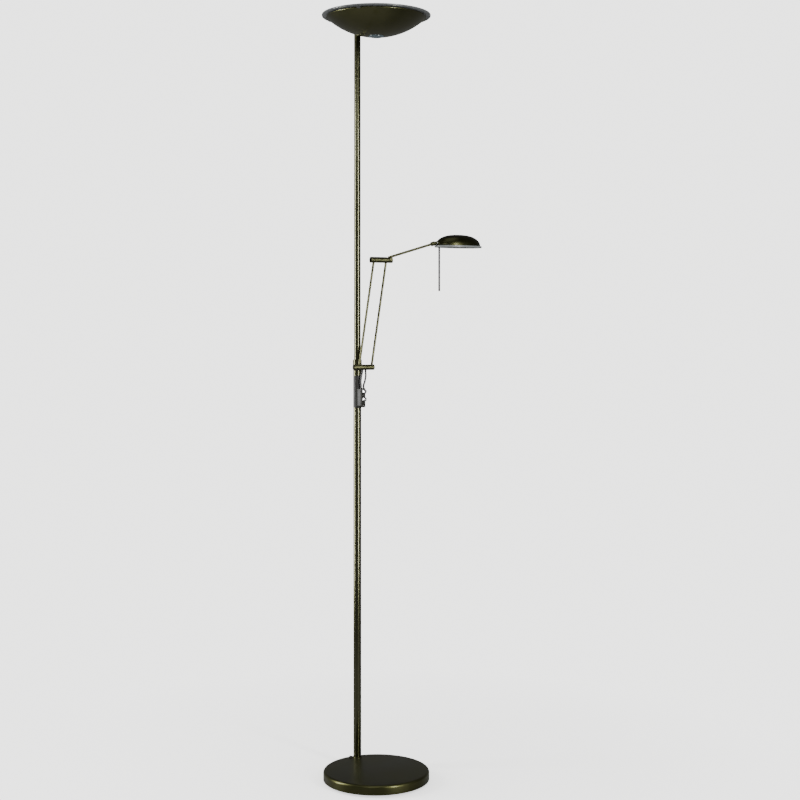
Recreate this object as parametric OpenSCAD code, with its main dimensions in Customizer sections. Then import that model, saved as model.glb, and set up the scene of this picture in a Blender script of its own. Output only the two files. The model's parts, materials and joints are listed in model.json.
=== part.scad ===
// Uplighter floor lamp with a reading arm: heavy round base, pole off centre,
// glass-covered bowl on top and a parallel-rod arm with an oval reading head.
// Origin at the middle of the floor ring, +Z up, reading arm along +X, pole on +Y.

/* [Overall] */
// Height from the floor to the top of the glass disc
lamp_h = 1800; // [1500:1:2150]
// Distance of the pole axis behind the middle of the base
pole_y = 108; // [104:0.5:112]

/* [Base] */
// Diameter of the base cover
base_d = 249; // [246:1:320]
// Height of the cover above the foot ring
base_h = 22; // [20:0.5:32]
// Radius of the cover's rounded shoulder
base_round = 6; // [4:0.5:15]
// Sheet thickness of the cover
base_wall = 1.5; // [1:0.1:2.5]
// Height of the rubber foot ring
foot_h = 6; // [5:0.5:10]
// Outer diameter of the foot ring
foot_d = 200; // [180:1:220]
// Width of the foot ring's band
foot_w = 9; // [6:0.5:14]
// Thickness of the bottom plate
plate_t = 2; // [1.5:0.1:3]

/* [Poles] */
// Diameter of the upper pole tube
upper_pole_d = 16; // [14:0.1:19.2]
// Wall of the upper pole tube
upper_wall = 1; // [0.8:0.1:1.5]
// Wall of the lower pole tube, which the upper one plugs into
lower_wall = 1.45; // [1:0.05:2]
// Height of the lower pole's top end above the floor
lower_pole_top = 872; // [740:1:1050]
// How far the upper pole plugs into the lower one
plug_depth = 40; // [25:1:60]

/* [Switch housing] */
// Wall of the sleeve round the pole
sleeve_wall = 1.95; // [1.5:0.05:3]
// Height of the sleeve
sleeve_h = 77; // [72:0.5:95]
// Width of the pod that holds the dimmers
pod_w = 17; // [16.5:0.1:20.5]
// Height of the pod
pod_h = 46; // [45:0.5:56]
// Reach of the pod's front from the pole's surface
pod_reach = 12; // [10:0.5:13]
// Angle of the pod round the pole
pod_turn = 25; // [10:1:30]
// Diameter of each dimmer knob
knob_d = 10; // [8:0.1:12]
// Length of each dimmer knob
knob_l = 6; // [4:0.1:9]
// Distance between the two dimmer knobs
knob_pitch = 18.5; // [15:0.1:19]

/* [Swivel bar] */
// Diameter of the lower bar
bar_d = 14; // [13:0.5:16]
// Diameter of the upper bar
upper_bar_d = 15; // [13:0.5:15.5]
// Distance of the arm's plane in front of the pole's surface
arm_off = 8; // [7.5:0.1:12]
// Height of the swivel collar
collar_h = 25; // [20:0.5:32]
// Distance between the two parallel rods' pivots
pivot_gap = 33; // [28:0.5:40]

/* [Parallel rods] */
// Length of a rod between its pivots
rod_l = 262; // [200:1:320]
// Diameter of a rod
rod_d = 5.6; // [4:0.1:6.8]
// Diameter of a pivot pin
pin_d = 3; // [2.5:0.1:3.6]
// Lean of the rods from upright as shown
lean = 8.7; // [0:0.1:30]

/* [Reading arm] */
// Length from the elbow to the head's turning seam
arm_l = 129; // [100:1:160]
// Height of the arm's line above the elbow bolt
arm_crank = 6; // [0:0.1:8]
// Diameter of the arm
arm_d = 6; // [5:0.1:7]
// Rise of the arm above level as shown
arm_rise = 16.6; // [10:0.1:22]

/* [Reading head] */
// Length of the head's dome
dome_l = 122; // [110:1:147]
// Width of the head's dome
dome_w = 62; // [56:0.5:76]
// Height of the dome above its rim
dome_h = 27.2; // [24:0.1:33]
// Thickness of the head's glass plate
head_glass_t = 4.5; // [3:0.5:5]
// How far the glass plate stands out beyond the dome
glass_edge = 4; // [2:0.5:6]
// Length of the handle below the glass plate
handle_l = 108.5; // [70:0.5:130]
// Diameter of the handle
handle_d = 5; // [4:0.1:6]

/* [Uplight bowl] */
// Diameter of the bowl's rim
bowl_d = 235; // [225:1:282]
// Depth of the bowl
bowl_depth = 45; // [42:0.5:54]
// Sheet thickness of the bowl
bowl_wall = 1.2; // [1:0.1:2]
// How far the glass disc stands out beyond the rim
disc_edge = 10.5; // [6:0.5:20]
// Thickness of the glass disc
disc_t = 4; // [3:0.5:6]
// Gap between the bowl's rim and the glass disc
disc_gap = 2.2; // [2:0.1:4]
// Diameter of the small lens under the bowl
lens_d = 38; // [30:0.5:44]
// Length of the halogen tube between its holders
tube_l = 114; // [100:1:118]

/* [Hidden] */
$fn = 96;
run = 0.05;        // radial clearance of a running or seated round fit
gap = 0.3;         // clearance between neighbours
bronze = [0.17, 0.16, 0.1];
black = [0.06, 0.06, 0.06];
steel = [0.7, 0.71, 0.72];
chrome = [0.9, 0.9, 0.9];
frosted = [0.78, 0.8, 0.8, 0.6];
ceramic = [0.92, 0.9, 0.86];

// Base
cover_top = foot_h + base_h;
seat_r = upper_pole_d / 2 + 3.5;
pole_z = cover_top + 1;              // the pole's foot stands on the raised seat
weight_z = foot_h + plate_t;
weight_h = base_h - base_wall - plate_t;
weight_r = base_d / 2 - base_wall - 4;
nipple_r = 5;
nut_h = 5;
washer_t = 2;
nut_pocket = 8;
washer_r = 9.4;
plate_screw_r = 80;
thread_r = 2;
gland = [-seat_r - 4.5, pole_y + 4];
gland_r = 3.5;

// Poles
upper_r = upper_pole_d / 2;
lower_in = upper_r + run;
lower_r = lower_in + lower_wall;
foot_plug_h = 22;

// Switch housing, in a frame of its own with the pole on Z and the pod on -Y
sleeve_in = upper_r + run;
sleeve_r = sleeve_in + sleeve_wall;
pod_front = -upper_r - pod_reach;
pod_split = -sleeve_r - 0.5;
pod_z = 1;
pod_wall = 1.6;
knob_z = [pod_z + 19.5, pod_z + 19.5 + knob_pitch];
screw_z = [pod_z + 4.5, (knob_z[0] + knob_z[1]) / 2];
screw_r = 1.1;
window_z = pod_z + 11;
board_t = 1.2;
pot_h = 3.4;
shaft_r = 1.5;
lead_r = 2.3;
lead_in = [4.8, 4.2 + pod_front];

// Swivel bar
stop_z = lower_pole_top + sleeve_h;
stop_h = 12.7;
bar_z = stop_z + stop_h + 1 + bar_d / 2;
bush_r = upper_r + run + 0.95;
collar_r = bush_r + run + 1.8;
collar_z = bar_z - bar_d / 2;
arm_plane = upper_r + arm_off;
arm_y = pole_y - arm_plane;
rear_x = -3;
front_x = rear_x + pivot_gap;
pin_r = pin_d / 2;
eye_r = rod_d / 2 + 1.1;
slot_w = rod_d + 2 * gap;
lead_x = [5.8, 14.6];

// Rods, upper bar and elbow
top_dx = rod_l * sin(lean);
top_z = bar_z + rod_l * cos(lean);
elbow = [front_x + top_dx + 9.9, top_z + 1.5];
elbow_r = 5.2;
elbow_w = 6;
bolt_r = 1.9;
bar_left = rear_x + top_dx - 8.8;
bar_right = elbow[0] + 5.2;

// Reading head, with its turning seam and tilting pin along the arm
ferrule_r = 5.5;
ferrule_l = 9;
spigot_r = 2;
knuckle_r = 4.2;
ear_r = 4;
ear_gap = 4.6;
tilt_s = arm_l + 6.5;
tilt_x = elbow[0] - arm_crank * sin(arm_rise) + tilt_s * cos(arm_rise);
tilt_z = elbow[1] + arm_crank * cos(arm_rise) + tilt_s * sin(arm_rise);
rim_z = tilt_z - 6.3;
head_x = tilt_x - 1.2 + dome_l / 2;
tang_w = 4;
tilt_pin_r = pin_r * 0.8;
handle_x = tilt_x + 7;
stud_r = 1.6;
plate_z = rim_z - 0.5 - head_glass_t;
stud_nut_x = head_x + dome_l / 2 - 16;
shell_stud_x = tilt_x + 17.5;
reflector_x = head_x + 7;
holder_len = 12;
holder_end = reflector_x - 31;
function dome_height(x) = dome_h * sqrt(1 - pow(abs(x - head_x) / (dome_l / 2), 2.5));

// Uplight bowl
disc_d = bowl_d + 2 * disc_edge;
disc_z = lamp_h - disc_t;
rim_top = disc_z - disc_gap;
bowl_r = (pow(bowl_d / 2, 2) + pow(bowl_depth, 2)) / (2 * bowl_depth);
bowl_bottom = rim_top - bowl_depth;
bowl_c = bowl_bottom + bowl_r;       // height of the bowl's sphere centre
bowl_in = bowl_r - bowl_wall;
bead_r = 1.3;        // the rolled rim
rim_bead = [bowl_d / 2 - 0.9, rim_top - 0.6];
strip_t = 1.5;
strip_w = 20;
back_strip_w = 36;
strip_r = bowl_in - run;
saddle_t = 3;
saddle_tilt = asin((pole_y - 10) / bowl_r);
saddle_r = 17;
function bowl_under(r) = bowl_c - sqrt(pow(bowl_r, 2) - r * r);
foot_rise = 9.2;     // how far below the bowl the pole ends
pole_top = bowl_under(pole_y - upper_r) - foot_rise;
spigot_h = 24;       // how far the bracket plugs into the pole
cable_y = pole_y - 2.4;
cable_r = 1.6;
grommet_r = 3.1;
grommet_z = rim_top - 13.4;
hole_turn = 7;
hole_r = 2.2;
hole_tilt = asin((pole_y - 14) / bowl_r);
holder_x = tube_l / 2 + 0.5;
holder_t = 12;
tube_r = 5.5;
shade_r = 30;         // the reflector pan's radius
tube_z = rim_top - 17;
lens_hole = lens_d / 2 - 0.6;
lens_curve = 60;     // radius of the lens's face
lens_drop = 3;       // how far the lens stands out below the bowl

// ---- shared shapes ----

// Profile of a disc with a quarter-round shoulder
module shoulder_profile(r, h, e) {
    square([r - e, h]);
    square([r, h - e]);
    intersection() {
        square([r, h]);
        translate([r - e, h - e]) circle(e);
    }
}

module tube(r_out, r_in, h) {
    difference() {
        cylinder(r = r_out, h = h);
        translate([0, 0, -1]) cylinder(r = r_in, h = h + 2);
    }
}

// Cylinder along +Y from a point, centred on its length
module cross_pin(x, y, z, r, l) {
    translate([x, y, z]) rotate([90, 0, 0]) cylinder(r = r, h = l, center = true);
}

module hex_nut(r, r_in, h) {
    difference() {
        cylinder(r = r, h = h, $fn = 6);
        translate([0, 0, -1]) cylinder(r = r_in, h = h + 2, $fn = 32);
    }
}

// Screw standing on z = 0 with its head below
module screw(r, l, head_r, head_h) {
    translate([0, 0, -head_h]) cylinder(r = head_r, h = head_h, $fn = 32);
    translate([0, 0, -0.1]) cylinder(r = r, h = l + 0.1, $fn = 32);
}

// Tablet standing in the XZ plane, with its own corner radii below and above
module tablet(w, h, r_low, r_high) {
    for (side = [-1, 1]) {
        translate([side * (w / 2 - r_low), r_low]) circle(r_low);
        translate([side * (w / 2 - r_high), h - r_high]) circle(r_high);
    }
    translate([-w / 2 + r_low, 0]) square([w - 2 * r_low, h]);
    translate([-w / 2, r_low]) square([w, h - r_low - r_high]);
    translate([-w / 2 + r_high, h / 2]) square([w - 2 * r_high, h / 2]);
}

// Round tube swept along a route, its rings held square to the mean direction
function unit(v) = v / norm(v);
function heading(p, i) = unit(p[min(i + 1, len(p) - 1)] - p[max(i - 1, 0)]);
function side_dir(t) = abs(t[2]) > 0.95 ? unit(cross([0, 1, 0], t)) : unit(cross([0, 0, 1], t));
function carried(s, t) = unit(s - (s * t) * t);
function ring_sides(p, i = 0, s = undef) = i >= len(p) ? [] :
    let (t = heading(p, i), now = carried(s == undef ? side_dir(t) : s, t))
    concat([now], ring_sides(p, i + 1, now));
module swept(p, r, n = 8) {
    sides = ring_sides(p);
    points = [for (i = [0:len(p) - 1]) let (t = heading(p, i), a = sides[i], b = cross(t, a))
        for (k = [0:n - 1]) p[i] + r * (cos(360 * k / n) * a + sin(360 * k / n) * b)];
    last = (len(p) - 1) * n;
    walls = [for (i = [0:len(p) - 2]) for (k = [0:n - 1]) let (m = (k + 1) % n)
        [i * n + k, (i + 1) * n + k, (i + 1) * n + m, i * n + m]];
    ends = [[for (k = [0:n - 1]) k], [for (k = [n - 1:-1:0]) last + k]];
    polyhedron(points, concat(walls, ends), convexity = 6);
}

// Catmull-Rom curve through hand-chosen points
function bent(p, i, u) = let (n = len(p) - 1, a = p[max(i - 1, 0)], b = p[i], c = p[i + 1],
    d = p[min(i + 2, n)])
    0.5 * (2 * b + (c - a) * u + (2 * a - 5 * b + 4 * c - d) * u * u
        + (3 * b - a - 3 * c + d) * u * u * u);
function curve(p, steps) = concat([for (i = [0:len(p) - 2]) for (k = [0:steps - 1])
    bent(p, i, k / steps)], [p[len(p) - 1]]);

// Closed half-shell over an ellipse: height follows (1 - rho^2.5)^0.5
dome_rings = 10;
dome_sides = 48;
function dome_point(a, b, h, t, k) = let (rho = sin(90 * t), w = 360 * k / dome_sides)
    [a * rho * cos(w), b * rho * sin(w), h * sqrt(max(0, 1 - pow(rho, 2.5)))];
function dome_sheet(a, b, h) = [for (i = [1:dome_rings]) for (k = [0:dome_sides - 1])
    dome_point(a, b, h, i / dome_rings, k)];
module dome_shell(a, b, h, wall) {
    n = dome_sides;
    m = dome_rings * n;
    points = concat(dome_sheet(a, b, h), dome_sheet(a - wall, b - wall, h - wall),
        [[0, 0, h], [0, 0, h - wall]]);
    quads = [for (i = [0:dome_rings - 2]) for (k = [0:n - 1]) let (j = (k + 1) % n, c = i * n)
        each [[c + k, c + j, c + n + j, c + n + k],
            [m + c + k, m + c + n + k, m + c + n + j, m + c + j]]];
    caps = [for (k = [0:n - 1]) let (j = (k + 1) % n)
        each [[2 * m, k, j], [2 * m + 1, m + j, m + k]]];
    rim = [for (k = [0:n - 1]) let (j = (k + 1) % n, c = m - n) [c + k, c + j, m + c + j, m + c + k]];
    polyhedron(points, [for (f = concat(quads, caps, rim)) [for (v = [len(f) - 1:-1:0]) f[v]]],
        convexity = 6);
}

// ---- base ----

module base_cover() {
    color(bronze) difference() {
        union() {
            translate([0, 0, foot_h]) rotate_extrude() difference() {
                shoulder_profile(base_d / 2, base_h, base_round);
                translate([0, -1]) shoulder_profile(base_d / 2 - base_wall,
                    base_h - base_wall + 1, base_round - base_wall);
            }
            translate([0, pole_y, cover_top - 3.5]) cylinder(r = seat_r, h = 4.5);
        }
        translate([0, pole_y, foot_h]) cylinder(r = nipple_r + 0.2, h = base_h + 5);
        translate([gland[0], gland[1], foot_h]) cylinder(r = gland_r + run, h = base_h + 5);
    }
}

module base_weight() {
    color(black) difference() {
        translate([0, 0, weight_z]) rotate_extrude()
            shoulder_profile(weight_r, weight_h, base_round);
        translate([0, pole_y, 0]) cylinder(r = nipple_r + 0.2, h = cover_top);
        translate([0, pole_y, 0]) cylinder(r = washer_r + 0.4, h = weight_z + nut_pocket);
        translate([0, pole_y, cover_top - 3.8]) cylinder(r = seat_r + gap, h = 5);
        translate([gland[0], gland[1], 0]) cylinder(r = gland_r + 1.5, h = cover_top);
        for (i = [0:3]) rotate(45 + 90 * i) translate([plate_screw_r, 0, 0])
            cylinder(r = thread_r + run, h = weight_z + 9);
    }
}

module base_plate() {
    color(black) translate([0, 0, foot_h]) difference() {
        cylinder(r = base_d / 2 - base_wall - gap, h = plate_t);
        for (i = [0:3]) rotate(45 + 90 * i) translate([plate_screw_r, 0, -1])
            cylinder(r = thread_r + gap, h = plate_t + 2);
    }
}

module foot_ring() {
    color(black) tube(foot_d / 2, foot_d / 2 - foot_w, foot_h);
}

module plate_screws() {
    color(steel) for (i = [0:3]) rotate(45 + 90 * i)
        translate([plate_screw_r, 0, foot_h]) screw(thread_r, plate_t + 8.5, 2 * thread_r, 2.2);
}

module pole_nipple() {
    color(steel) translate([0, pole_y, weight_z + 0.6])
        tube(nipple_r, nipple_r - 1.4, pole_z + foot_plug_h - 2 - weight_z - 0.6);
}

module nipple_washer() {
    color(steel) translate([0, pole_y, weight_z + nut_pocket - washer_t])
        tube(washer_r, nipple_r + run, washer_t);
}

module nipple_nut() {
    color(steel) translate([0, pole_y, weight_z + nut_pocket - washer_t - nut_h])
        hex_nut(washer_r - 0.8, nipple_r + run, nut_h);
}

// Flanged bush for the mains lead, in the cover beside the pole's foot
module cord_gland() {
    color(black) translate([gland[0], gland[1], 0]) difference() {
        union() {
            translate([0, 0, cover_top - 8]) cylinder(r = gland_r, h = 9);
            translate([0, 0, cover_top + 0.02]) cylinder(r = gland_r + 1, h = 1.6);
            translate([0, 0, cover_top + 1]) cylinder(r = gland_r - 0.2, h = 2.2);
        }
        translate([0, 0, cover_top - 9]) cylinder(r = 2.2, h = 14);
    }
}

// ---- poles ----

module pole_plug() {
    color(steel) translate([0, pole_y, pole_z]) tube(lower_in - run, nipple_r + run, foot_plug_h);
}

module lower_pole() {
    color(bronze) translate([0, pole_y, pole_z]) tube(lower_r, lower_in, lower_pole_top - pole_z);
}

module upper_pole() {
    color(bronze) difference() {
        translate([0, pole_y, lower_pole_top - plug_depth])
            tube(upper_r, upper_r - upper_wall,
                pole_top - lower_pole_top + plug_depth);
        on_housing() translate([0, 0, window_z]) rotate([90, 0, 0]) cylinder(r = 3, h = upper_r + 2);
    }
}

function from_pod(r, z) = [r * sin(pod_turn), pole_y - r * cos(pod_turn), z];
cable_foot = lower_pole_top + window_z;
cable_climb = pole_top - 45 - cable_foot - 22;
cable_route = [from_pod(upper_r + 2.1, cable_foot), from_pod(upper_r, cable_foot + 0.4),
    from_pod(2.6, cable_foot + 6), [0, pole_y, cable_foot + 22],
    for (k = [0.2:0.2:0.8]) [0, pole_y, cable_foot + 22 + k * cable_climb],
    [0, pole_y - 0.6, pole_top - 45], [0, cable_y + 0.3, pole_top - 18], [0, cable_y, rim_top - 14],
    [0, cable_y, rim_top - 7], [-1.2, cable_y - 4.2, rim_top - 3], [-7, cable_y - 13.6, rim_top - 5],
    [-22, 76, rim_top - 16.5], [-40, 50, rim_top - 23], [-57, 26, rim_top - 22], [-62, 12, rim_top - 20]];

module uplight_cable() {
    color(black) swept(curve(cable_route, 3), cable_r);
}

// ---- switch housing ----

module on_housing() {
    translate([0, pole_y, lower_pole_top]) rotate(pod_turn) children();
}

// The pod as a solid, its plan rounded in front and its outline rounded below
module pod_block(inset) {
    depth = -pod_front - inset;
    w = pod_w - 2 * inset;
    translate([0, 0, pod_z + inset]) intersection() {
        rotate([90, 0, 0]) linear_extrude(depth)
            tablet(w, pod_h - 2 * inset, 6 - inset, 3 - inset / 2);
        linear_extrude(pod_h) union() {
            translate([-w / 2, -depth + 3]) square([w, depth - 3]);
            for (side = [-1, 1]) translate([side * (w / 2 - 3), -depth + 3]) circle(3);
            translate([-w / 2 + 3, -depth]) square([w - 6, depth]);
        }
    }
}

module screw_bores(r) {
    for (z = screw_z) translate([0, 0, z]) rotate([90, 0, 0]) cylinder(r = r, h = 30, $fn = 32);
}

module switch_body() {
    color(black) on_housing() difference() {
        union() {
            cylinder(r = sleeve_r, h = sleeve_h);
            intersection() {
                pod_block(0);
                translate([-30, pod_split, 0]) cube([60, 30, 80]);
            }
        }
        translate([0, 0, -1]) cylinder(r = sleeve_in, h = sleeve_h + 2);
        translate([0, 0, window_z]) rotate([90, 0, 0]) cylinder(r = 2.9, h = 30);
        screw_bores(screw_r + run);
    }
}

module switch_cover() {
    color(black) on_housing() difference() {
        intersection() {
            pod_block(0);
            translate([-30, -40 + pod_split - 0.05, 0]) cube([60, 40, 80]);
        }
        pod_block(pod_wall);
        for (z = knob_z) translate([0, 0, z]) rotate([90, 0, 0]) cylinder(r = shaft_r + 0.4, h = 40);
        screw_bores(screw_r + 0.2);
        for (side = [-1, 1]) translate([side * lead_in[0], lead_in[1], pod_z + pod_h - 3])
            cylinder(r = lead_r + gap, h = 5, $fn = 32);
    }
}

board_y = pod_split - 0.3;

module dimmer_board() {
    color("darkgreen") on_housing() difference() {
        translate([-pod_w / 2 + 2, board_y - board_t, pod_z + 8]) cube([pod_w - 4, board_t, 32]);
        for (z = screw_z) translate([0, 0, z]) rotate([90, 0, 0]) cylinder(r = 1.6, h = 30, $fn = 32);
    }
}

module dimmer_pots() {
    color(steel) on_housing() for (z = knob_z) translate([0, board_y - board_t, z])
        rotate([90, 0, 0]) tube(4.8, shaft_r + run, pot_h);
}

module knob(z) {
    color(chrome) on_housing() translate([0, 0, z]) rotate([90, 0, 0]) {
        translate([0, 0, -pod_front + gap]) rotate_extrude() {
            square([knob_d / 2 - 0.8, knob_l]);
            square([knob_d / 2, knob_l - 0.8]);
            translate([knob_d / 2 - 0.8, knob_l - 0.8]) circle(0.8, $fn = 32);
        }
        translate([0, 0, -board_y + board_t + 0.4])
            cylinder(r = shaft_r, h = board_y - board_t - pod_front + gap);
    }
}
module upper_knob() knob(knob_z[1]);
module lower_knob() knob(knob_z[0]);

module cover_screws() {
    color(steel) on_housing() for (z = screw_z) translate([0, pod_front, z]) rotate([-90, 0, 0])
        screw(screw_r, pod_reach - 0.4, 1.9, 0.8);
}

// ---- swivel ----

module stop_collar() {
    color(bronze) translate([0, pole_y, stop_z]) difference() {
        tube(sleeve_r, upper_r + run, stop_h);
        translate([0, 0, stop_h / 2]) rotate([-90, 0, 0]) cylinder(r = 1.5 + run, h = 20, $fn = 32);
    }
}

module collar_screw() {
    color(steel) translate([0, pole_y + upper_r + run, stop_z + stop_h / 2])
        rotate([-90, 0, 0]) cylinder(r = 1.5, h = sleeve_r - upper_r - 0.2, $fn = 32);
}

module swivel_washer() {
    color(black) translate([0, pole_y, stop_z + stop_h]) tube(collar_r - 0.3, upper_r + run, 0.95);
}

module swivel_bush() {
    color(black) translate([0, pole_y, collar_z + 0.1]) tube(bush_r, upper_r + run, collar_h - 0.6);
}

module swivel_bar() {
    color(bronze) difference() {
        union() {
            translate([0, pole_y, collar_z]) cylinder(r = collar_r, h = collar_h);
            translate([rear_x - 14, arm_y, bar_z]) rotate([0, 90, 0])
                cylinder(r = bar_d / 2, h = front_x + 6 - rear_x + 14);
            translate([-8, arm_y, collar_z]) cube([16, arm_plane - bush_r + 1, bar_d]);
        }
        translate([0, pole_y, collar_z - 1]) cylinder(r = bush_r + run, h = collar_h + 2);
        translate([rear_x - 8, arm_y - slot_w / 2, bar_z - eye_r - 0.4])
            cube([pivot_gap + 20, slot_w, bar_d]);
        for (x = [rear_x, front_x]) cross_pin(x, arm_y, bar_z, pin_r + 0.02, 60);
        for (x = lead_x) translate([x, arm_y, collar_z - 1]) cylinder(r = lead_r + run, h = 6, $fn = 32);
    }
}

module lower_pins() {
    color(bronze) for (x = [rear_x, front_x]) cross_pin(x, arm_y, bar_z, pin_r, bar_d - 1.6);
}

// The two short leads from the bar down to the pod
lead_dir = [sin(pod_turn), -cos(pod_turn)];
lead_side = [cos(pod_turn), sin(pod_turn)];
function pod_entry(s) = [s * lead_in[0] * lead_side[0] - lead_in[1] * lead_dir[0],
    pole_y + s * lead_in[0] * lead_side[1] - lead_in[1] * lead_dir[1]];
function lead_route(x, s, bow) = let (e = pod_entry(s), z0 = lower_pole_top + pod_z + pod_h - pod_wall)
    [[x, arm_y, bar_z - eye_r], [x, arm_y, collar_z - 4], [x + bow, arm_y, collar_z - 15],
    [(x + e[0]) / 2 + bow, (arm_y + e[1]) / 2, collar_z - 28], [e[0], e[1], z0 + 9], [e[0], e[1], z0]];

module arm_leads() {
    color(black) {
        swept(curve(lead_route(lead_x[0], -1, -2.4), 4), lead_r);
        swept(curve(lead_route(lead_x[1], 1, 0.3), 4), lead_r);
    }
}

// ---- parallel rods and elbow ----

module rod(x, bore_top) {
    color(bronze) translate([x, arm_y, bar_z]) rotate([0, lean, 0]) difference() {
        union() {
            translate([0, 0, pin_r + 1]) cylinder(r = rod_d / 2, h = rod_l - 2 * pin_r - 2);
            for (z = [0, rod_l]) cross_pin(0, 0, z, eye_r, rod_d - 0.6);
        }
        cross_pin(0, 0, 0, pin_r + run, rod_d + 2);
        cross_pin(0, 0, rod_l, bore_top, rod_d + 2);
    }
}
module rear_rod() rod(rear_x, pin_r + run);
module front_rod() rod(front_x, pin_r + gap);

module upper_bar() {
    color(bronze) difference() {
        translate([bar_left, arm_y, top_z]) rotate([0, 90, 0])
            cylinder(r = upper_bar_d / 2, h = bar_right - bar_left);
        translate([bar_left - 1, arm_y - slot_w / 2, top_z - upper_bar_d])
            cube([front_x + top_dx + 6 - bar_left, slot_w, upper_bar_d + eye_r + 0.4]);
        translate([elbow[0] - 9.2, arm_y - elbow_w / 2 - gap, top_z - upper_bar_d])
            cube([20, elbow_w + 2 * gap, 2 * upper_bar_d]);
        for (x = [rear_x, front_x]) cross_pin(x + top_dx, arm_y, top_z, pin_r + 0.02, 60);
        cross_pin(elbow[0], arm_y, elbow[1], bolt_r + 0.02, 60);
    }
}

module upper_pins() {
    color(bronze) for (x = [rear_x, front_x])
        cross_pin(x + top_dx, arm_y, top_z, pin_r, upper_bar_d - 1.6);
}

module elbow_bolt() {
    color(bronze) {
        translate([elbow[0], arm_y + upper_bar_d / 2 - 0.8, elbow[1]]) rotate([90, 0, 0])
            cylinder(r = bolt_r, h = upper_bar_d);
        translate([elbow[0], arm_y - upper_bar_d / 2, elbow[1]]) rotate([90, 0, 0])
            cylinder(r = 4.2, h = 2);
    }
}

// Local frame of the reading arm: its axis on +Z, with the elbow bolt beside it on +X
module on_arm() {
    translate([elbow[0], arm_y, elbow[1]]) rotate([0, 90 - arm_rise, 0])
        translate([-arm_crank, 0, 0]) children();
}

module upper_arm() {
    color(bronze) on_arm() difference() {
        union() {
            cross_pin(arm_crank, 0, 0, elbow_r, elbow_w);
            translate([-arm_d / 2 + 0.4, -elbow_w / 2 + 0.4, -arm_d / 2 + 0.5])
                cube([arm_crank + arm_d / 2, elbow_w - 0.8, arm_d - 1]);
            cylinder(r = arm_d / 2, h = arm_l - ferrule_l + 1);
            translate([0, 0, arm_l - ferrule_l]) cylinder(r = ferrule_r, h = ferrule_l - 0.1);
        }
        cross_pin(arm_crank, 0, 0, bolt_r + run, elbow_w + 2);
        translate([0, 0, arm_l - ferrule_l + 1]) cylinder(r = spigot_r + run, h = ferrule_l);
    }
}

// ---- reading head ----

module head_knuckle() {
    color(bronze) on_arm() difference() {
        union() {
            translate([0, 0, arm_l - ferrule_l + 1.3]) cylinder(r = spigot_r, h = ferrule_l);
            translate([0, 0, arm_l + 0.1]) cylinder(r = knuckle_r, h = 2.4);
            intersection() {
                translate([0, 0, arm_l]) cylinder(r = knuckle_r, h = 20);
                union() {
                    translate([-ear_r, -10, arm_l + 1]) cube([2 * ear_r, 20, tilt_s - arm_l - 1]);
                    cross_pin(0, 0, tilt_s, ear_r, 20);
                }
            }
        }
        translate([-10, -ear_gap / 2, arm_l + 2.3]) cube([20, ear_gap, 20]);
        cross_pin(0, 0, tilt_s, tilt_pin_r + 0.02, 30);
    }
}

module tilt_pin() {
    color(chrome) cross_pin(tilt_x, arm_y, tilt_z, tilt_pin_r, 2 * knuckle_r - 0.9);
}

module head_bracket() {
    color(steel) difference() {
        union() {
            cross_pin(tilt_x, arm_y, tilt_z, 3.4, tang_w);
            translate([tilt_x, arm_y - tang_w / 2, rim_z]) cube([13.4, tang_w, 8]);
            translate([handle_x, arm_y, rim_z]) cylinder(r = 3.4, h = 7);
            translate([tilt_x + 12, arm_y - 4, rim_z + 5])
                cube([holder_end - holder_len - tilt_x - 12.1, 8, 3]);
        }
        cross_pin(tilt_x, arm_y, tilt_z, tilt_pin_r + run, 20);
        translate([handle_x, arm_y, rim_z - 1]) cylinder(r = stud_r + 0.02, h = 7);
        translate([shell_stud_x, arm_y, rim_z]) cylinder(r = 2.1, h = 20);
        translate([tilt_x - 4, arm_y - 5, rim_z - 3]) cube([4, 10, 3]);
    }
}

module at_head() {
    translate([head_x, arm_y, rim_z]) children();
}

module head_shell() {
    color(bronze) difference() {
        union() {
            at_head() dome_shell(dome_l / 2, dome_w / 2, dome_h, 1.2);
            translate([shell_stud_x, arm_y, rim_z + 2.5])
                cylinder(r = 1.9, h = dome_height(shell_stud_x) - 3.1, $fn = 24);
        }
        cross_pin(tilt_x, arm_y, tilt_z, 5.4, 2 * knuckle_r + 1.6);
        translate([tilt_x - 8, arm_y - knuckle_r - 0.8, rim_z - 1]) cube([10, 2 * knuckle_r + 1.6, 14]);
    }
}

module shell_nut() {
    color(steel) translate([shell_stud_x, arm_y, rim_z + 2.4]) hex_nut(3.4, 1.95, 2.5);
}

module head_reflector() {
    color(chrome) difference() {
        translate([reflector_x, arm_y, rim_z + 0.4])
            dome_shell(dome_l / 2 - 14, dome_w / 2 - 5, dome_h - 6.5, 0.8);
        translate([holder_end - 20, arm_y - 8, rim_z - 1]) cube([23, 16, 18]);
        translate([stud_nut_x, arm_y, rim_z - 1]) cylinder(r = 4, h = 40);
    }
}

module head_lampholder() {
    color(ceramic) difference() {
        translate([holder_end - holder_len, arm_y - 7, rim_z + 2.5]) cube([holder_len, 14, 11]);
        translate([holder_end - 3, arm_y, rim_z + 8]) rotate([0, 90, 0])
            cylinder(r = 4.2, h = 5, $fn = 32);
    }
}

module head_bulb() {
    color(frosted) translate([holder_end - 2.7, arm_y, rim_z + 8]) rotate([0, 90, 0]) {
        cylinder(r = 4, h = 4, $fn = 32);
        translate([0, 0, 3.5]) cylinder(r = 5.5, h = 18, $fn = 48);
        translate([0, 0, 21.5]) sphere(5.5, $fn = 48);
    }
}

// Ellipse with points by formula
function oval(a, b, n) = [for (k = [0:n - 1]) [a * cos(360 * k / n), b * sin(360 * k / n)]];

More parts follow.
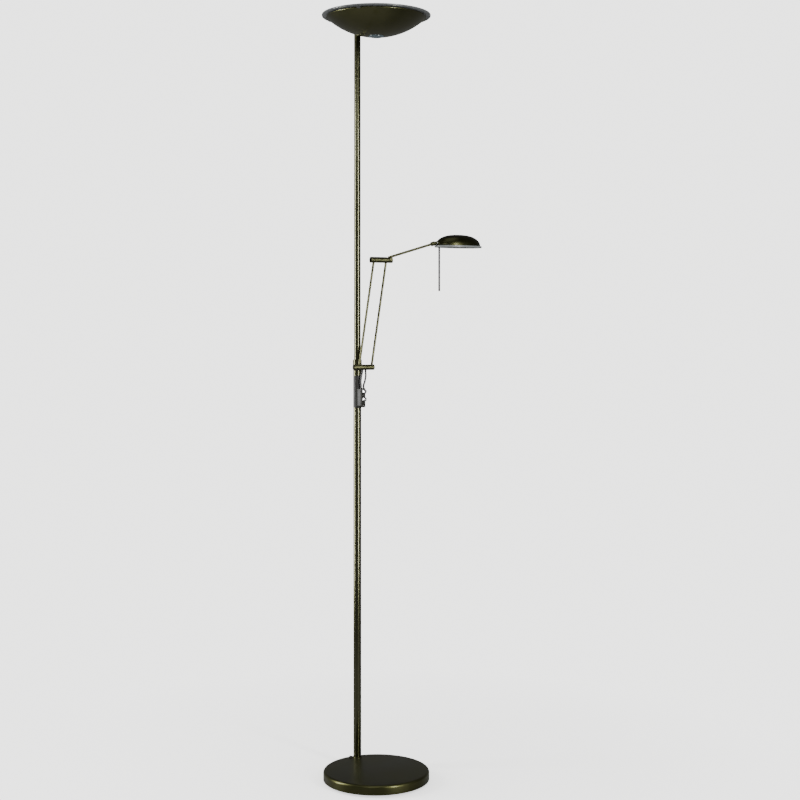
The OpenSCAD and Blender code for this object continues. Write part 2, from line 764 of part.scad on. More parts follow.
module head_glass() {
    color(frosted) difference() {
        translate([head_x + 0.6, arm_y, plate_z]) linear_extrude(head_glass_t)
            polygon(oval(dome_l / 2 + glass_edge - 1, dome_w / 2 + glass_edge, 96));
        translate([handle_x, arm_y, plate_z - 1]) cylinder(r = stud_r + 0.4, h = 10);
        translate([stud_nut_x, arm_y, plate_z - 1]) cylinder(r = 2, h = 10);
    }
}

module glass_nut() {
    color(chrome) translate([stud_nut_x, arm_y, plate_z]) {
        translate([0, 0, -1.2]) cylinder(r = 3.4, h = 1.2);
        cylinder(r = 1.5, h = dome_height(stud_nut_x) + 2.6);
    }
}

module head_handle() {
    color([0.3, 0.3, 0.29]) {
        translate([handle_x, arm_y, plate_z - handle_l]) cylinder(r = handle_d / 2, h = handle_l);
        translate([handle_x, arm_y, plate_z - 2]) cylinder(r = stud_r, h = head_glass_t + 7.5);
    }
}

// ---- uplight bowl ----

// Direction of the bowl's normal at a tilt from straight down, turned round Z
module on_bowl(tilt, turn) {
    translate([0, 0, bowl_c]) rotate(turn) rotate([180 + tilt, 0, 0]) children();
}

module bowl_window() {
    translate([0, bowl_bottom - 1]) square([bowl_r, bowl_depth + 1]);
}

module uplight_bowl() {
    color(bronze) difference() {
        rotate_extrude() {
            intersection() {
                translate([0, bowl_c]) difference() {
                    circle(bowl_r, $fn = 200);
                    circle(bowl_in, $fn = 200);
                }
                bowl_window();
            }
            translate(rim_bead) circle(bead_r, $fn = 32);
        }
        translate([0, 0, bowl_bottom - 5]) cylinder(r = lens_hole + gap, h = 15);
        for (s = [-1, 1]) on_bowl(hole_tilt, s * hole_turn)
            translate([0, 0, bowl_r - 8]) cylinder(r = hole_r, h = 16, $fn = 32);
        translate([0, cable_y, rim_top - 30]) cylinder(r = grommet_r + run, h = 40, $fn = 32);
    }
}

// Saddle under the bowl, with a foot as wide as the pole and a spigot that plugs into it
module bowl_bracket() {
    color(bronze) difference() {
        union() {
            intersection() {
                translate([0, 0, bowl_c]) sphere(bowl_r + saddle_t, $fn = 200);
                on_bowl(saddle_tilt, 0) cylinder(r = saddle_r, h = bowl_r + 10);
            }
            translate([0, pole_y, pole_top + run])
                cylinder(r = upper_r, h = rim_bead[1] - bead_r - gap - pole_top);
            translate([0, pole_y, pole_top - spigot_h])
                cylinder(r = upper_r - upper_wall - run, h = spigot_h + 4);
        }
        translate([0, 0, bowl_c]) sphere(bowl_r + run, $fn = 200);
        translate([0, cable_y, pole_top - spigot_h - 1])
            cylinder(r = grommet_r + run, h = 60, $fn = 32);
        for (s = [-1, 1]) on_bowl(hole_tilt, s * hole_turn)
            cylinder(r = hole_r, h = bowl_r + 20, $fn = 32);
    }
}

module bowl_screws() {
    color(steel) for (s = [-1, 1]) on_bowl(hole_tilt, s * hole_turn)
        translate([0, 0, strip_r - strip_t - 0.1]) screw(hole_r - 0.25, 9.5, 3.6, 1.8);
}

module bowl_lens() {
    color([0.66, 0.74, 0.82, 0.7]) {
        intersection() {
            translate([0, 0, bowl_bottom - lens_drop]) cylinder(r = lens_hole, h = lens_drop + 4.5);
            translate([0, 0, bowl_bottom - lens_drop + lens_curve]) sphere(lens_curve, $fn = 120);
        }
        translate([0, 0, bowl_bottom + 3]) cylinder(r = lens_d / 2 + 2, h = 2);
    }
}

module lens_ring() {
    color(steel) translate([0, 0, bowl_bottom + 5]) tube(lens_d / 2 + 3, lens_d / 2 - 4, 1);
}

// Cross of two pressed strips that follow the bowl's inside
module lamp_bracket() {
    color(steel) difference() {
        intersection() {
            translate([0, 0, bowl_c]) difference() {
                sphere(strip_r, $fn = 200);
                sphere(strip_r - strip_t, $fn = 200);
            }
            union() {
                translate([-holder_x - 14, -strip_w / 2, bowl_bottom])
                    cube([2 * holder_x + 28, strip_w, 40]);
                translate([-back_strip_w / 2, -strip_w / 2, bowl_bottom])
                    cube([back_strip_w, pole_y + 7, 40]);
                translate([0, 0, bowl_bottom]) cylinder(r = lens_d / 2 + 12, h = 20);
            }
        }
        translate([0, 0, bowl_bottom]) cylinder(r = lens_d / 2 + 3.3, h = 20);
        for (s = [-1, 1]) on_bowl(hole_tilt, s * hole_turn)
            translate([0, 0, bowl_r - 12]) cylinder(r = hole_r, h = 16, $fn = 32);
        translate([0, cable_y, rim_top - 30]) cylinder(r = 6, h = 40, $fn = 32);
    }
}

module tube_holders() {
    color(ceramic) for (s = [-1, 1]) difference() {
        translate([s * (holder_x + holder_t / 2), 0, tube_z]) intersection() {
            translate([-holder_t / 2, -9, -20]) cube([holder_t, 18, 28]);
            translate([-s * (holder_x + holder_t / 2), 0, bowl_c - tube_z])
                sphere(strip_r - strip_t - run, $fn = 200);
        }
        translate([s * (holder_x - 1), 0, tube_z]) rotate([0, 90, 0])
            cylinder(r = 3.4, h = 8, center = true, $fn = 32);
    }
}

module halogen_tube() {
    color(frosted) translate([0, 0, tube_z]) rotate([0, 90, 0]) {
        cylinder(r = tube_r, h = tube_l - 26, center = true, $fn = 48);
        cylinder(r = 3.2, h = tube_l + 5, center = true, $fn = 32);
    }
}

module reflector_pan() {
    color(steel) translate([0, 0, tube_z + 18]) difference() {
        rotate([0, 90, 0]) difference() {
            cylinder(r = shade_r, h = 2 * holder_x - 0.4, center = true);
            cylinder(r = shade_r - 1, h = 2 * holder_x + 2, center = true);
        }
        translate([-100, -40, -12]) cube([200, 80, 60]);
        translate([0, 0, -40]) cylinder(r = 13, h = 30);
    }
}

module glass_disc() {
    color(frosted) translate([0, 0, disc_z]) rotate_extrude() {
        square([disc_d / 2 - 1, disc_t]);
        translate([0, 1]) square([disc_d / 2, disc_t - 2]);
        for (z = [1, disc_t - 1]) translate([disc_d / 2 - 1, z]) circle(1, $fn = 32);
    }
}

// Small pads on the rim that carry the glass
module glass_pads() {
    color(black) for (k = [0:3]) rotate(45 + 90 * k) difference() {
        translate([bowl_d / 2 - 3.7, -4, rim_top - 2]) cube([5.6, 8, disc_gap + 1.95]);
        rotate_extrude(convexity = 4) {
            translate(rim_bead) circle(bead_r + run, $fn = 32);
            intersection() {
                translate([0, bowl_c]) difference() {
                    circle(bowl_r + run, $fn = 200);
                    circle(bowl_in - run, $fn = 200);
                }
                bowl_window();
            }
        }
    }
}

module cable_grommet() {
    color(black) translate([0, cable_y, 0]) difference() {
        translate([0, 0, grommet_z]) cylinder(r = grommet_r, h = 7, $fn = 32);
        translate([0, 0, rim_top - 30]) cylinder(r = cable_r + 0.5, h = 40, $fn = 32);
    }
}

base_cover();
base_weight();
base_plate();
foot_ring();
plate_screws();
pole_nipple();
nipple_washer();
nipple_nut();
cord_gland();
pole_plug();
lower_pole();
upper_pole();
uplight_cable();
switch_body();
switch_cover();
dimmer_board();
dimmer_pots();
upper_knob();
lower_knob();
cover_screws();
stop_collar();
collar_screw();
swivel_washer();
swivel_bush();
swivel_bar();
lower_pins();
arm_leads();
rear_rod();
front_rod();
upper_bar();
upper_pins();
elbow_bolt();
upper_arm();
head_knuckle();
tilt_pin();
head_bracket();
head_shell();
shell_nut();
head_reflector();
head_lampholder();
head_bulb();
head_glass();
glass_nut();
head_handle();
bowl_bracket();
bowl_screws();
uplight_bowl();
bowl_lens();
lens_ring();
lamp_bracket();
tube_holders();
halogen_tube();
reflector_pan();
glass_disc();
glass_pads();
cable_grommet();
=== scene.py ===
import json
import math
import bmesh
import bpy
import numpy as np
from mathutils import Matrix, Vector

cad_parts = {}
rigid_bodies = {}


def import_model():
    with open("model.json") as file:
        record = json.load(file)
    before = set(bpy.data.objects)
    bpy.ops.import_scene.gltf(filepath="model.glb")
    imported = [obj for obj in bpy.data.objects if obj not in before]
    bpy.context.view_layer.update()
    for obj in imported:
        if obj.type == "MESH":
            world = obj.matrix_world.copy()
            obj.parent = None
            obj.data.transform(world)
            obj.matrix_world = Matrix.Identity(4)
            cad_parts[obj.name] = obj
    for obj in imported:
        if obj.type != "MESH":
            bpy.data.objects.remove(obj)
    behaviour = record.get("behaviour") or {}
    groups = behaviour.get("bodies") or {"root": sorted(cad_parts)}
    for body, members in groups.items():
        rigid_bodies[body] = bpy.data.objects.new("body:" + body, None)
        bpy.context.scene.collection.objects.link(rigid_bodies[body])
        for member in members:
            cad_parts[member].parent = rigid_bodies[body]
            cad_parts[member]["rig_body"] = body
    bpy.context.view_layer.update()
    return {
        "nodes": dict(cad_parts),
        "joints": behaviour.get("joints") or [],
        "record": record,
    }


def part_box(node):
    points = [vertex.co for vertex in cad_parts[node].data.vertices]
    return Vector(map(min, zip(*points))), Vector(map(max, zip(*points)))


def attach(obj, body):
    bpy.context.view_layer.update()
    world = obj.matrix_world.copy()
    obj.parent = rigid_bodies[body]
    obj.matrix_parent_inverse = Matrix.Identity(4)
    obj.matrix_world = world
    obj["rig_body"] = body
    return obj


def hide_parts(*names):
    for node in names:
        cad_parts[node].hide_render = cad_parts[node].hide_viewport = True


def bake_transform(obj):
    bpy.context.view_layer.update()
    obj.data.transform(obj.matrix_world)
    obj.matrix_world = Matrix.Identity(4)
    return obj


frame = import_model()
nodes = frame["nodes"]
joints = {joint["name"]: joint for joint in frame["joints"]}
slotOf = {part["node"]: part["material_slot"] for part in frame["record"]["subparts"]}
print("frame loaded:", len(nodes), "nodes")


# Shape helpers: a patch is (points, faces), and a piece is one or more patches in one mesh
joinWithin = 2e-6  # points nearer to each other than this become one
noLength = 1e-7  # edges shorter than this are dropped


# A vector divided by its own length
def unit(v):
    v = np.asarray(v, float)
    return v / np.linalg.norm(v)


# Three directions at right angles, the last one along the given direction
def axesAlong(direction):
    w = unit(direction)
    helper = np.array([1.0, 0, 0]) if abs(w[0]) < 0.9 else np.array([0, 1.0, 0])
    u = unit(np.cross(helper, w))
    return u, np.cross(w, u), w


# Equal angles round a circle, the full turn left out because it is the first angle again
def anglesRound(sides):
    return np.linspace(0, 2 * math.pi, sides, endpoint=False)


# Middle of a box seen from above: the mean of its low and high corners
def middleOf(low, high):
    return (low.x + high.x) / 2, (low.y + high.y) / 2


# Grid point (i, j) joins its right, upper right and upper neighbours as one quad; columns close into
# rings, and rows may wrap round too
def gridPatch(grid, wrapRows=False):
    rows, columns = grid.shape[:2]
    i, j = np.meshgrid(np.arange(rows - (not wrapRows)), np.arange(columns), indexing="ij")
    up, right = (i + 1) % rows, (j + 1) % columns
    corners = [i * columns + j, i * columns + right, up * columns + right, up * columns + j]
    return grid.reshape(-1, 3), np.stack(corners, axis=-1).reshape(-1, 4)


# Corners (r, z, fillet) become one outline; each fillet is the arc that touches both edges,
# its points turned from the first touching point to the second by equal angles
def rounded(corners, steps=6, closed=True):
    corners = np.asarray(corners, float)
    count = len(corners)
    outline = []
    for k in range(count):
        here, fillet = corners[k, :2], corners[k, 2]
        if fillet <= 0 or (not closed and k in (0, count - 1)):
            outline.append(here[None])
            continue
        back, ahead = corners[k - 1, :2] - here, corners[(k + 1) % count, :2] - here
        a, b = unit(back), unit(ahead)
        half = math.acos(np.clip(a @ b, -1, 1)) / 2
        most = 0.49 * min(np.linalg.norm(back), np.linalg.norm(ahead))  # a fillet stops short of mid-edge
        reach = min(fillet / math.tan(half), most)
        radius = reach * math.tan(half)
        centre = here + unit(a + b) * radius / math.sin(half)
        first, last = here + a * reach - centre, here + b * reach - centre
        turn = math.pi - 2 * half
        s = np.linspace(0, 1, steps)[:, None]
        arc = (np.sin((1 - s) * turn) * first + np.sin(s * turn) * last) / math.sin(turn)
        outline.append(centre + arc)
    return np.vstack(outline)


# Points round an axis: origin + r (cos a U + sin a V) + z W, where r and z may change with the angle
def aroundAxis(r, z, angle, origin, direction):
    u, v, w = axesAlong(direction)
    ring = np.cos(angle)[:, None] * u + np.sin(angle)[:, None] * v
    return np.asarray(origin, float) + r[..., None] * ring + z[..., None] * w


# A closed profile of radii and heights carried round an axis
def turnedPatch(profile, origin=(0, 0, 0), direction=(0, 0, 1), sides=96):
    grid = aroundAxis(profile[:, :1], profile[:, 1:], anglesRound(sides), origin, direction)
    return gridPatch(grid, wrapRows=True)


# An oval plate or shell: point = ((s a + grow) cos w, (s b + grow) sin w, z) for each row (s, grow, z)
def ovalPatch(profile, semiX, semiY, origin, sides=192):
    angle = anglesRound(sides)
    s, grow, z = [profile[:, k][:, None] for k in range(3)]
    x = (s * semiX + grow) * np.cos(angle)
    y = (s * semiY + grow) * np.sin(angle)
    grid = np.stack([x, y, z * np.ones_like(x)], axis=-1) + np.asarray(origin, float)
    return gridPatch(grid, wrapRows=True)


# Smooth curve through points: each span is the cubic whose ends lean along their neighbours' chord
def smoothPath(points, steps):
    p = np.asarray(points, float)
    p = np.vstack([p[:1], p, p[-1:]])
    t = np.linspace(0, 1, steps, endpoint=False)[:, None, None]
    a, b, c, d = p[:-3], p[1:-2], p[2:-1], p[3:]
    squared, cubed = 2 * a - 5 * b + 4 * c - d, 3 * b - a - 3 * c + d
    spans = 0.5 * (2 * b + (c - a) * t + squared * t**2 + cubed * t**3)
    return np.vstack([spans.transpose(1, 0, 2).reshape(-1, 3), p[-1:]])


roundEnd = dict(rings=(0.0, 0.38, 0.71), height=0.6)  # shares of the swept circle's radius


# A circle carried along a path, its first side turned at each step just enough to stay square to the
# path; shrinking rings close each end as a low dome, each ring's lift being height (1 - s^2)^1/2
def sweptPatch(path, radius, sides):
    path = np.asarray(path, float)
    shrink = np.array(roundEnd["rings"])
    lift = roundEnd["height"] * radius * np.sqrt(1 - shrink**2)[:, None]
    head = path[0] + unit(path[0] - path[1]) * lift
    tail = path[-1] + unit(path[-1] - path[-2]) * lift[::-1]
    radii = radius * np.concatenate([shrink, np.ones(len(path)), shrink[::-1]])
    path = np.vstack([head, path, tail])
    heading = np.gradient(path, axis=0)
    heading /= np.linalg.norm(heading, axis=1)[:, None]
    side = axesAlong(heading[0])[0]
    across = []
    for ahead in heading:
        side = unit(side - (side @ ahead) * ahead)
        across.append(side)
    across = np.array(across)
    other = np.cross(heading, across)
    angle = anglesRound(sides)[None, :, None]
    ring = np.cos(angle) * across[:, None] + np.sin(angle) * other[:, None]
    return gridPatch(path[:, None] + radii[:, None, None] * ring)


# Joins points that meet, drops faces with no area and turns the rest to point outwards
def weld(mesh):
    shape = bmesh.new()
    shape.from_mesh(mesh)
    bmesh.ops.remove_doubles(shape, verts=shape.verts, dist=joinWithin)
    bmesh.ops.dissolve_degenerate(shape, edges=shape.edges, dist=noLength)
    bmesh.ops.recalc_face_normals(shape, faces=shape.faces)
    shape.to_mesh(mesh)
    shape.free()


# Shades a mesh smooth, but not across an edge that turns by more than the angle in degrees
def smoothed(mesh, sharpAngle):
    mesh.polygons.foreach_set("use_smooth", np.ones(len(mesh.polygons), bool))
    mesh.set_sharp_from_angle(angle=math.radians(sharpAngle))
    mesh.update()


# Puts a finished piece in the scene in place of its CAD node, and on the node's body when it rides
def settle(piece, node, rides=True):
    bpy.context.scene.collection.objects.link(piece)
    if rides:
        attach(piece, nodes[node]["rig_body"])
    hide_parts(node)
    return piece


# Patches one after another in a single mesh, each patch's faces counted on from the points before it
def makePiece(name, node, patches, finish, sharpAngle=40, rides=True):
    points, faces, start = [], [], 0
    for patchPoints, patchFaces in patches:
        points.append(patchPoints)
        faces.extend((patchFaces + start).tolist())
        start += len(patchPoints)
    mesh = bpy.data.meshes.new(name)
    mesh.from_pydata(np.vstack(points).tolist(), [], faces)
    weld(mesh)
    smoothed(mesh, sharpAngle)
    mesh.materials.append(materials[finish])
    return settle(bpy.data.objects.new(name, mesh), node, rides)


edgeRound = dict(segments=3, sharpFrom=34, flatWithin=0.4)  # angles in degrees


# A CAD node's own shape with its seams joined and every edge rounded off by the given width
def softened(name, node, finish, width):
    mesh = nodes[node].data.copy()
    mesh.name = name
    shape = bmesh.new()
    shape.from_mesh(mesh)
    bmesh.ops.remove_doubles(shape, verts=shape.verts, dist=joinWithin)
    flat = math.radians(edgeRound["flatWithin"])
    bmesh.ops.dissolve_limit(shape, angle_limit=flat, verts=shape.verts, edges=shape.edges)
    shape.to_mesh(mesh)
    shape.free()
    for layer in ("custom_normal", "sharp_face"):
        if layer in mesh.attributes:
            mesh.attributes.remove(mesh.attributes[layer])
    smoothed(mesh, edgeRound["sharpFrom"])
    mesh.materials.clear()
    mesh.materials.append(materials[finish])
    piece = bpy.data.objects.new(name, mesh)
    bevel = piece.modifiers.new("edges", "BEVEL")
    bevel.width = width
    bevel.segments = edgeRound["segments"]
    bevel.limit_method = "ANGLE"
    bevel.angle_limit = math.radians(edgeRound["sharpFrom"])
    bevel.harden_normals = True
    bevel.use_clamp_overlap = True
    return settle(piece, node)


# Shader helpers: addNode makes a node with its settings, and feed sets a plain value on a socket or
# links another node's output to it
def addNode(tree, kind, **settings):
    node = tree.nodes.new(kind)
    for key, value in settings.items():
        setattr(node, key, value)
    return node


def feed(tree, socket, item):
    if isinstance(item, bpy.types.NodeSocket):
        tree.links.new(item, socket)
    else:
        socket.default_value = item


# One step of arithmetic on numbers or outputs
def mathNode(tree, operation, *terms):
    node = addNode(tree, "ShaderNodeMath", operation=operation)
    for socket, term in zip(node.inputs, terms):
        feed(tree, socket, term)
    return node.outputs[0]


# Value carried in proportion from low..high to toLow..toHigh, and held at the ends
def remap(tree, value, low, high, toLow, toHigh):
    node = addNode(tree, "ShaderNodeMapRange", clamp=True)
    for socket, item in zip(node.inputs, (value, low, high, toLow, toHigh)):
        feed(tree, socket, item)
    return node.outputs[0]


# First colour times (1 - factor) plus second colour times factor
def mixColor(tree, factor, first, second):
    node = addNode(tree, "ShaderNodeMix", data_type="RGBA")
    for index, item in ((0, factor), (6, first), (7, second)):
        feed(tree, node.inputs[index], item)
    return node.outputs[2]


# Noise over a place in space, or over one number when it has one dimension
def noiseValue(tree, place, scale, detail=4.0, rough=0.55, dims="3D"):
    noise = addNode(tree, "ShaderNodeTexNoise", noise_dimensions=dims)
    feed(tree, noise.inputs["Detail"], detail)
    feed(tree, noise.inputs["Roughness"], rough)
    feed(tree, noise.inputs["Scale"], scale)
    feed(tree, noise.inputs["W" if dims == "1D" else "Vector"], place)
    return noise.outputs[0]


# First value times the share plus second value times what is left of one
def blendValues(tree, first, second, share):
    firstPart = mathNode(tree, "MULTIPLY", first, share)
    secondPart = mathNode(tree, "MULTIPLY", second, mathNode(tree, "SUBTRACT", 1.0, share))
    return mathNode(tree, "ADD", firstPart, secondPart)


# An empty shader group with named inputs and outputs; every group starts from a Vector
def newGroup(name, inputs, outputs):
    group = bpy.data.node_groups.new(name, "ShaderNodeTree")
    group.interface.new_socket(name="Vector", in_out="INPUT", socket_type="NodeSocketVector")
    for title, value in inputs.items():
        kind = "NodeSocketColor" if isinstance(value, tuple) else "NodeSocketFloat"
        socket = group.interface.new_socket(name=title, in_out="INPUT", socket_type=kind)
        socket.default_value = value
    for title, kind in outputs.items():
        group.interface.new_socket(name=title, in_out="OUTPUT", socket_type=kind)
    return group, group.nodes.new("NodeGroupInput").outputs, group.nodes.new("NodeGroupOutput").inputs


toneClouds = dict(detail=5.0, speckFiner=45.0, speckDetail=2.0, allDark=0.36, allLight=0.64)


# Two tones mixed by a broad cloud of noise, with a fine speck on top
def buildToneGroup():
    group, given, out = newGroup("toneClouds",
        dict(Dark=(0.1, 0.1, 0.1, 1), Light=(0.2, 0.2, 0.2, 1), Scale=12.0, Speck=0.1),
        dict(Color="NodeSocketColor", Mask="NodeSocketFloat"))
    broad = noiseValue(group, given["Vector"], given["Scale"], toneClouds["detail"])
    speckScale = mathNode(group, "MULTIPLY", given["Scale"], toneClouds["speckFiner"])
    fine = noiseValue(group, given["Vector"], speckScale, toneClouds["speckDetail"])
    speck = mathNode(group, "MULTIPLY", mathNode(group, "SUBTRACT", fine, 0.5), given["Speck"])
    cloud = mathNode(group, "ADD", broad, speck)
    mask = remap(group, cloud, toneClouds["allDark"], toneClouds["allLight"], 0.0, 1.0)
    feed(group, out["Color"], mixColor(group, mask, given["Dark"], given["Light"]))
    feed(group, out["Mask"], mask)
    return group


toolLines = dict(ringDetail=3.0, ringRough=0.6, stripes=38.0, stripeDetail=4.0, stripeRough=0.65)


# Fine tool lines: noise of one number only, the distance from the Z axis or the angle round it, so
# that it runs in rings or, where Along is 1, along the tube
def buildLinesGroup():
    group, given, out = newGroup("toolLines", dict(Rings=1500.0, Along=0.0), dict(Height="NodeSocketFloat"))
    split = addNode(group, "ShaderNodeSeparateXYZ")
    feed(group, split.inputs[0], given["Vector"])
    x, y = split.outputs[0], split.outputs[1]
    squares = [mathNode(group, "MULTIPLY", side, side) for side in (x, y)]
    distance = mathNode(group, "SQRT", mathNode(group, "ADD", *squares))
    turn = mathNode(group, "ARCTAN2", y, x)
    rings = noiseValue(group, distance, given["Rings"], toolLines["ringDetail"], toolLines["ringRough"], "1D")
    stripes = noiseValue(group, turn, toolLines["stripes"], toolLines["stripeDetail"],
        toolLines["stripeRough"], "1D")
    feed(group, out["Height"], blendValues(group, stripes, rings, given["Along"]))
    return group


edgeRub = dict(fullyConvex=0.6, patches=220.0, patchDetail=5.0, patchFrom=0.42, patchTo=0.62)


# Rubbed edges: where the surface is most convex, broken up by noise
def buildWearGroup():
    group, given, out = newGroup("edgeRub", dict(Start=0.53, Amount=0.5), dict(Mask="NodeSocketFloat"))
    geometry = addNode(group, "ShaderNodeNewGeometry")
    convex = remap(group, geometry.outputs["Pointiness"], given["Start"], edgeRub["fullyConvex"], 0.0, 1.0)
    cloud = noiseValue(group, given["Vector"], edgeRub["patches"], edgeRub["patchDetail"])
    patchy = remap(group, cloud, edgeRub["patchFrom"], edgeRub["patchTo"], 0.0, 1.0)
    rubbed = mathNode(group, "MULTIPLY", convex, patchy)
    feed(group, out["Mask"], mathNode(group, "MULTIPLY", rubbed, given["Amount"]))
    return group


dustFilm = dict(
    color=(0.3, 0.29, 0.26, 1), rough=0.5,  # rough is added to the surface's own
    facingFrom=0.35, patches=60.0, patchDetail=6.0, patchFrom=0.3, patchTo=0.7, thinnest=0.35,
)


# Settled dust: faces that look up, thinned by noise
def buildDustGroup():
    group, given, out = newGroup("dustFilm", dict(Amount=0.2), dict(Mask="NodeSocketFloat"))
    geometry = addNode(group, "ShaderNodeNewGeometry")
    split = addNode(group, "ShaderNodeSeparateXYZ")
    feed(group, split.inputs[0], geometry.outputs["Normal"])
    facing = remap(group, split.outputs[2], dustFilm["facingFrom"], 1.0, 0.0, 1.0)
    cloud = noiseValue(group, given["Vector"], dustFilm["patches"], dustFilm["patchDetail"])
    patchFrom, patchTo = dustFilm["patchFrom"], dustFilm["patchTo"]
    patchy = remap(group, cloud, patchFrom, patchTo, dustFilm["thinnest"], 1.0)
    settled = mathNode(group, "MULTIPLY", facing, patchy)
    feed(group, out["Mask"], mathNode(group, "MULTIPLY", settled, given["Amount"]))
    return group


# Micro relief of a lacquer or moulding: fine noise over a slower swell
def buildGrainGroup():
    group, given, out = newGroup("surfaceGrain", dict(Fine=2600.0, Swell=300.0, Mix=0.5),
        dict(Height="NodeSocketFloat"))
    fine = noiseValue(group, given["Vector"], given["Fine"], 2.0)
    swell = noiseValue(group, given["Vector"], given["Swell"], 2.0)
    feed(group, out["Height"], blendValues(group, fine, swell, given["Mix"]))
    return group


groups = dict(tone=buildToneGroup(), lines=buildLinesGroup(), wear=buildWearGroup(), dust=buildDustGroup(),
    grain=buildGrainGroup())


# One of the groups in a material, with the material's own values
def placeGroup(tree, key, vector, **values):
    node = addNode(tree, "ShaderNodeGroup", node_tree=groups[key])
    feed(tree, node.inputs["Vector"], vector)
    for title, value in values.items():
        feed(tree, node.inputs[title], value)
    return node.outputs


# The normal turned by the slope of a height, on top of an earlier normal where there is one
def bumped(tree, height, strength, depth, under=None):
    bump = addNode(tree, "ShaderNodeBump")
    feed(tree, bump.inputs["Strength"], strength)
    feed(tree, bump.inputs["Distance"], depth)
    feed(tree, bump.inputs["Height"], height)
    if under:
        feed(tree, bump.inputs["Normal"], under)
    return bump.outputs["Normal"]


# A new material, its shader, and the object's own coordinates moved by the shift
def startMaterial(name, shift=(0, 0, 0)):
    material = bpy.data.materials.new(name)
    material.use_nodes = True
    tree = material.node_tree
    coordinates = addNode(tree, "ShaderNodeTexCoord")
    mapping = addNode(tree, "ShaderNodeMapping")
    feed(tree, mapping.inputs["Location"], shift)
    feed(tree, mapping.inputs["Vector"], coordinates.outputs["Object"])
    return material, tree, tree.nodes["Principled BSDF"].inputs, mapping.outputs[0]


# A finish starts from these values, and each look below changes some of them
plainFinish = dict(
    scale=14.0, speck=0.15,  # tone clouds and the speck on them
    metallic=0.0, specular=0.5, coat=0.0, coatRough=0.1,
    rub=0, dust=0,  # rubbed edges and settled dust, none at 0
    fine=2600.0, swell=300.0, mix=0.5, relief=0.15, depth=0.00006,  # grain
    lines=0, along=0.0, lineRelief=0.2, lineDepth=0.00004,  # tool lines, none at 0
    shift=(0, 0, 0),
)


# Any opaque finish: toned colour, rubbed edges, dust, roughness that follows the tone, and relief from
# grain and tool lines
def finishMaterial(name, ownValues):
    look = {**plainFinish, **ownValues}
    material, tree, shader, vector = startMaterial(name, look["shift"])
    tone = placeGroup(tree, "tone", vector, Dark=(*look["dark"], 1), Light=(*look["light"], 1),
        Scale=look["scale"], Speck=look["speck"])
    color = tone["Color"]
    rough = remap(tree, tone["Mask"], 0.0, 1.0, *look["rough"])
    if look["rub"]:
        wear = placeGroup(tree, "wear", vector, Amount=look["rub"])
        color = mixColor(tree, wear["Mask"], color, (*look["bare"], 1))
    if look["dust"]:
        dust = placeGroup(tree, "dust", vector, Amount=look["dust"])
        color = mixColor(tree, dust["Mask"], color, dustFilm["color"])
        rough = mathNode(tree, "ADD", rough, mathNode(tree, "MULTIPLY", dust["Mask"], dustFilm["rough"]))
    grain = placeGroup(tree, "grain", vector, Fine=look["fine"], Swell=look["swell"], Mix=look["mix"])
    normal = bumped(tree, grain["Height"], look["relief"], look["depth"])
    if look["lines"]:
        lines = placeGroup(tree, "lines", vector, Rings=look["lines"], Along=look["along"])
        normal = bumped(tree, lines["Height"], look["lineRelief"], look["lineDepth"], normal)
    sockets = {"Base Color": color, "Roughness": rough, "Normal": normal, "Metallic": look["metallic"],
        "Specular IOR Level": look["specular"], "Coat Weight": look["coat"],
        "Coat Roughness": look["coatRough"]}
    for title, item in sockets.items():
        feed(tree, shader[title], item)
    return material


glassBody = dict(
    refraction=1.5, frost=90.0, frostDetail=5.0, frostFrom=0.3, frostTo=0.7,
    cloud=8.0, speck=0.1, fine=3500.0, swell=60.0, mix=0.6, depth=0.00005,  # tone clouds and grain
)


# Glass: one plain body with a slightly uneven frosting and a faint swell
def glassMaterial(name, look):
    material, tree, shader, vector = startMaterial(name)
    frosting = noiseValue(tree, vector, glassBody["frost"], glassBody["frostDetail"])
    rough = remap(tree, frosting, glassBody["frostFrom"], glassBody["frostTo"], *look["rough"])
    tone = placeGroup(tree, "tone", vector, Dark=(*look["dark"], 1), Light=(*look["light"], 1),
        Scale=glassBody["cloud"], Speck=glassBody["speck"])
    grain = placeGroup(tree, "grain", vector, Fine=glassBody["fine"], Swell=glassBody["swell"],
        Mix=glassBody["mix"])
    feed(tree, shader["Base Color"], tone["Color"])
    feed(tree, shader["Roughness"], rough)
    feed(tree, shader["Normal"], bumped(tree, grain["Height"], look["relief"], glassBody["depth"]))
    feed(tree, shader["Transmission Weight"], look["clear"])
    feed(tree, shader["IOR"], glassBody["refraction"])
    return material


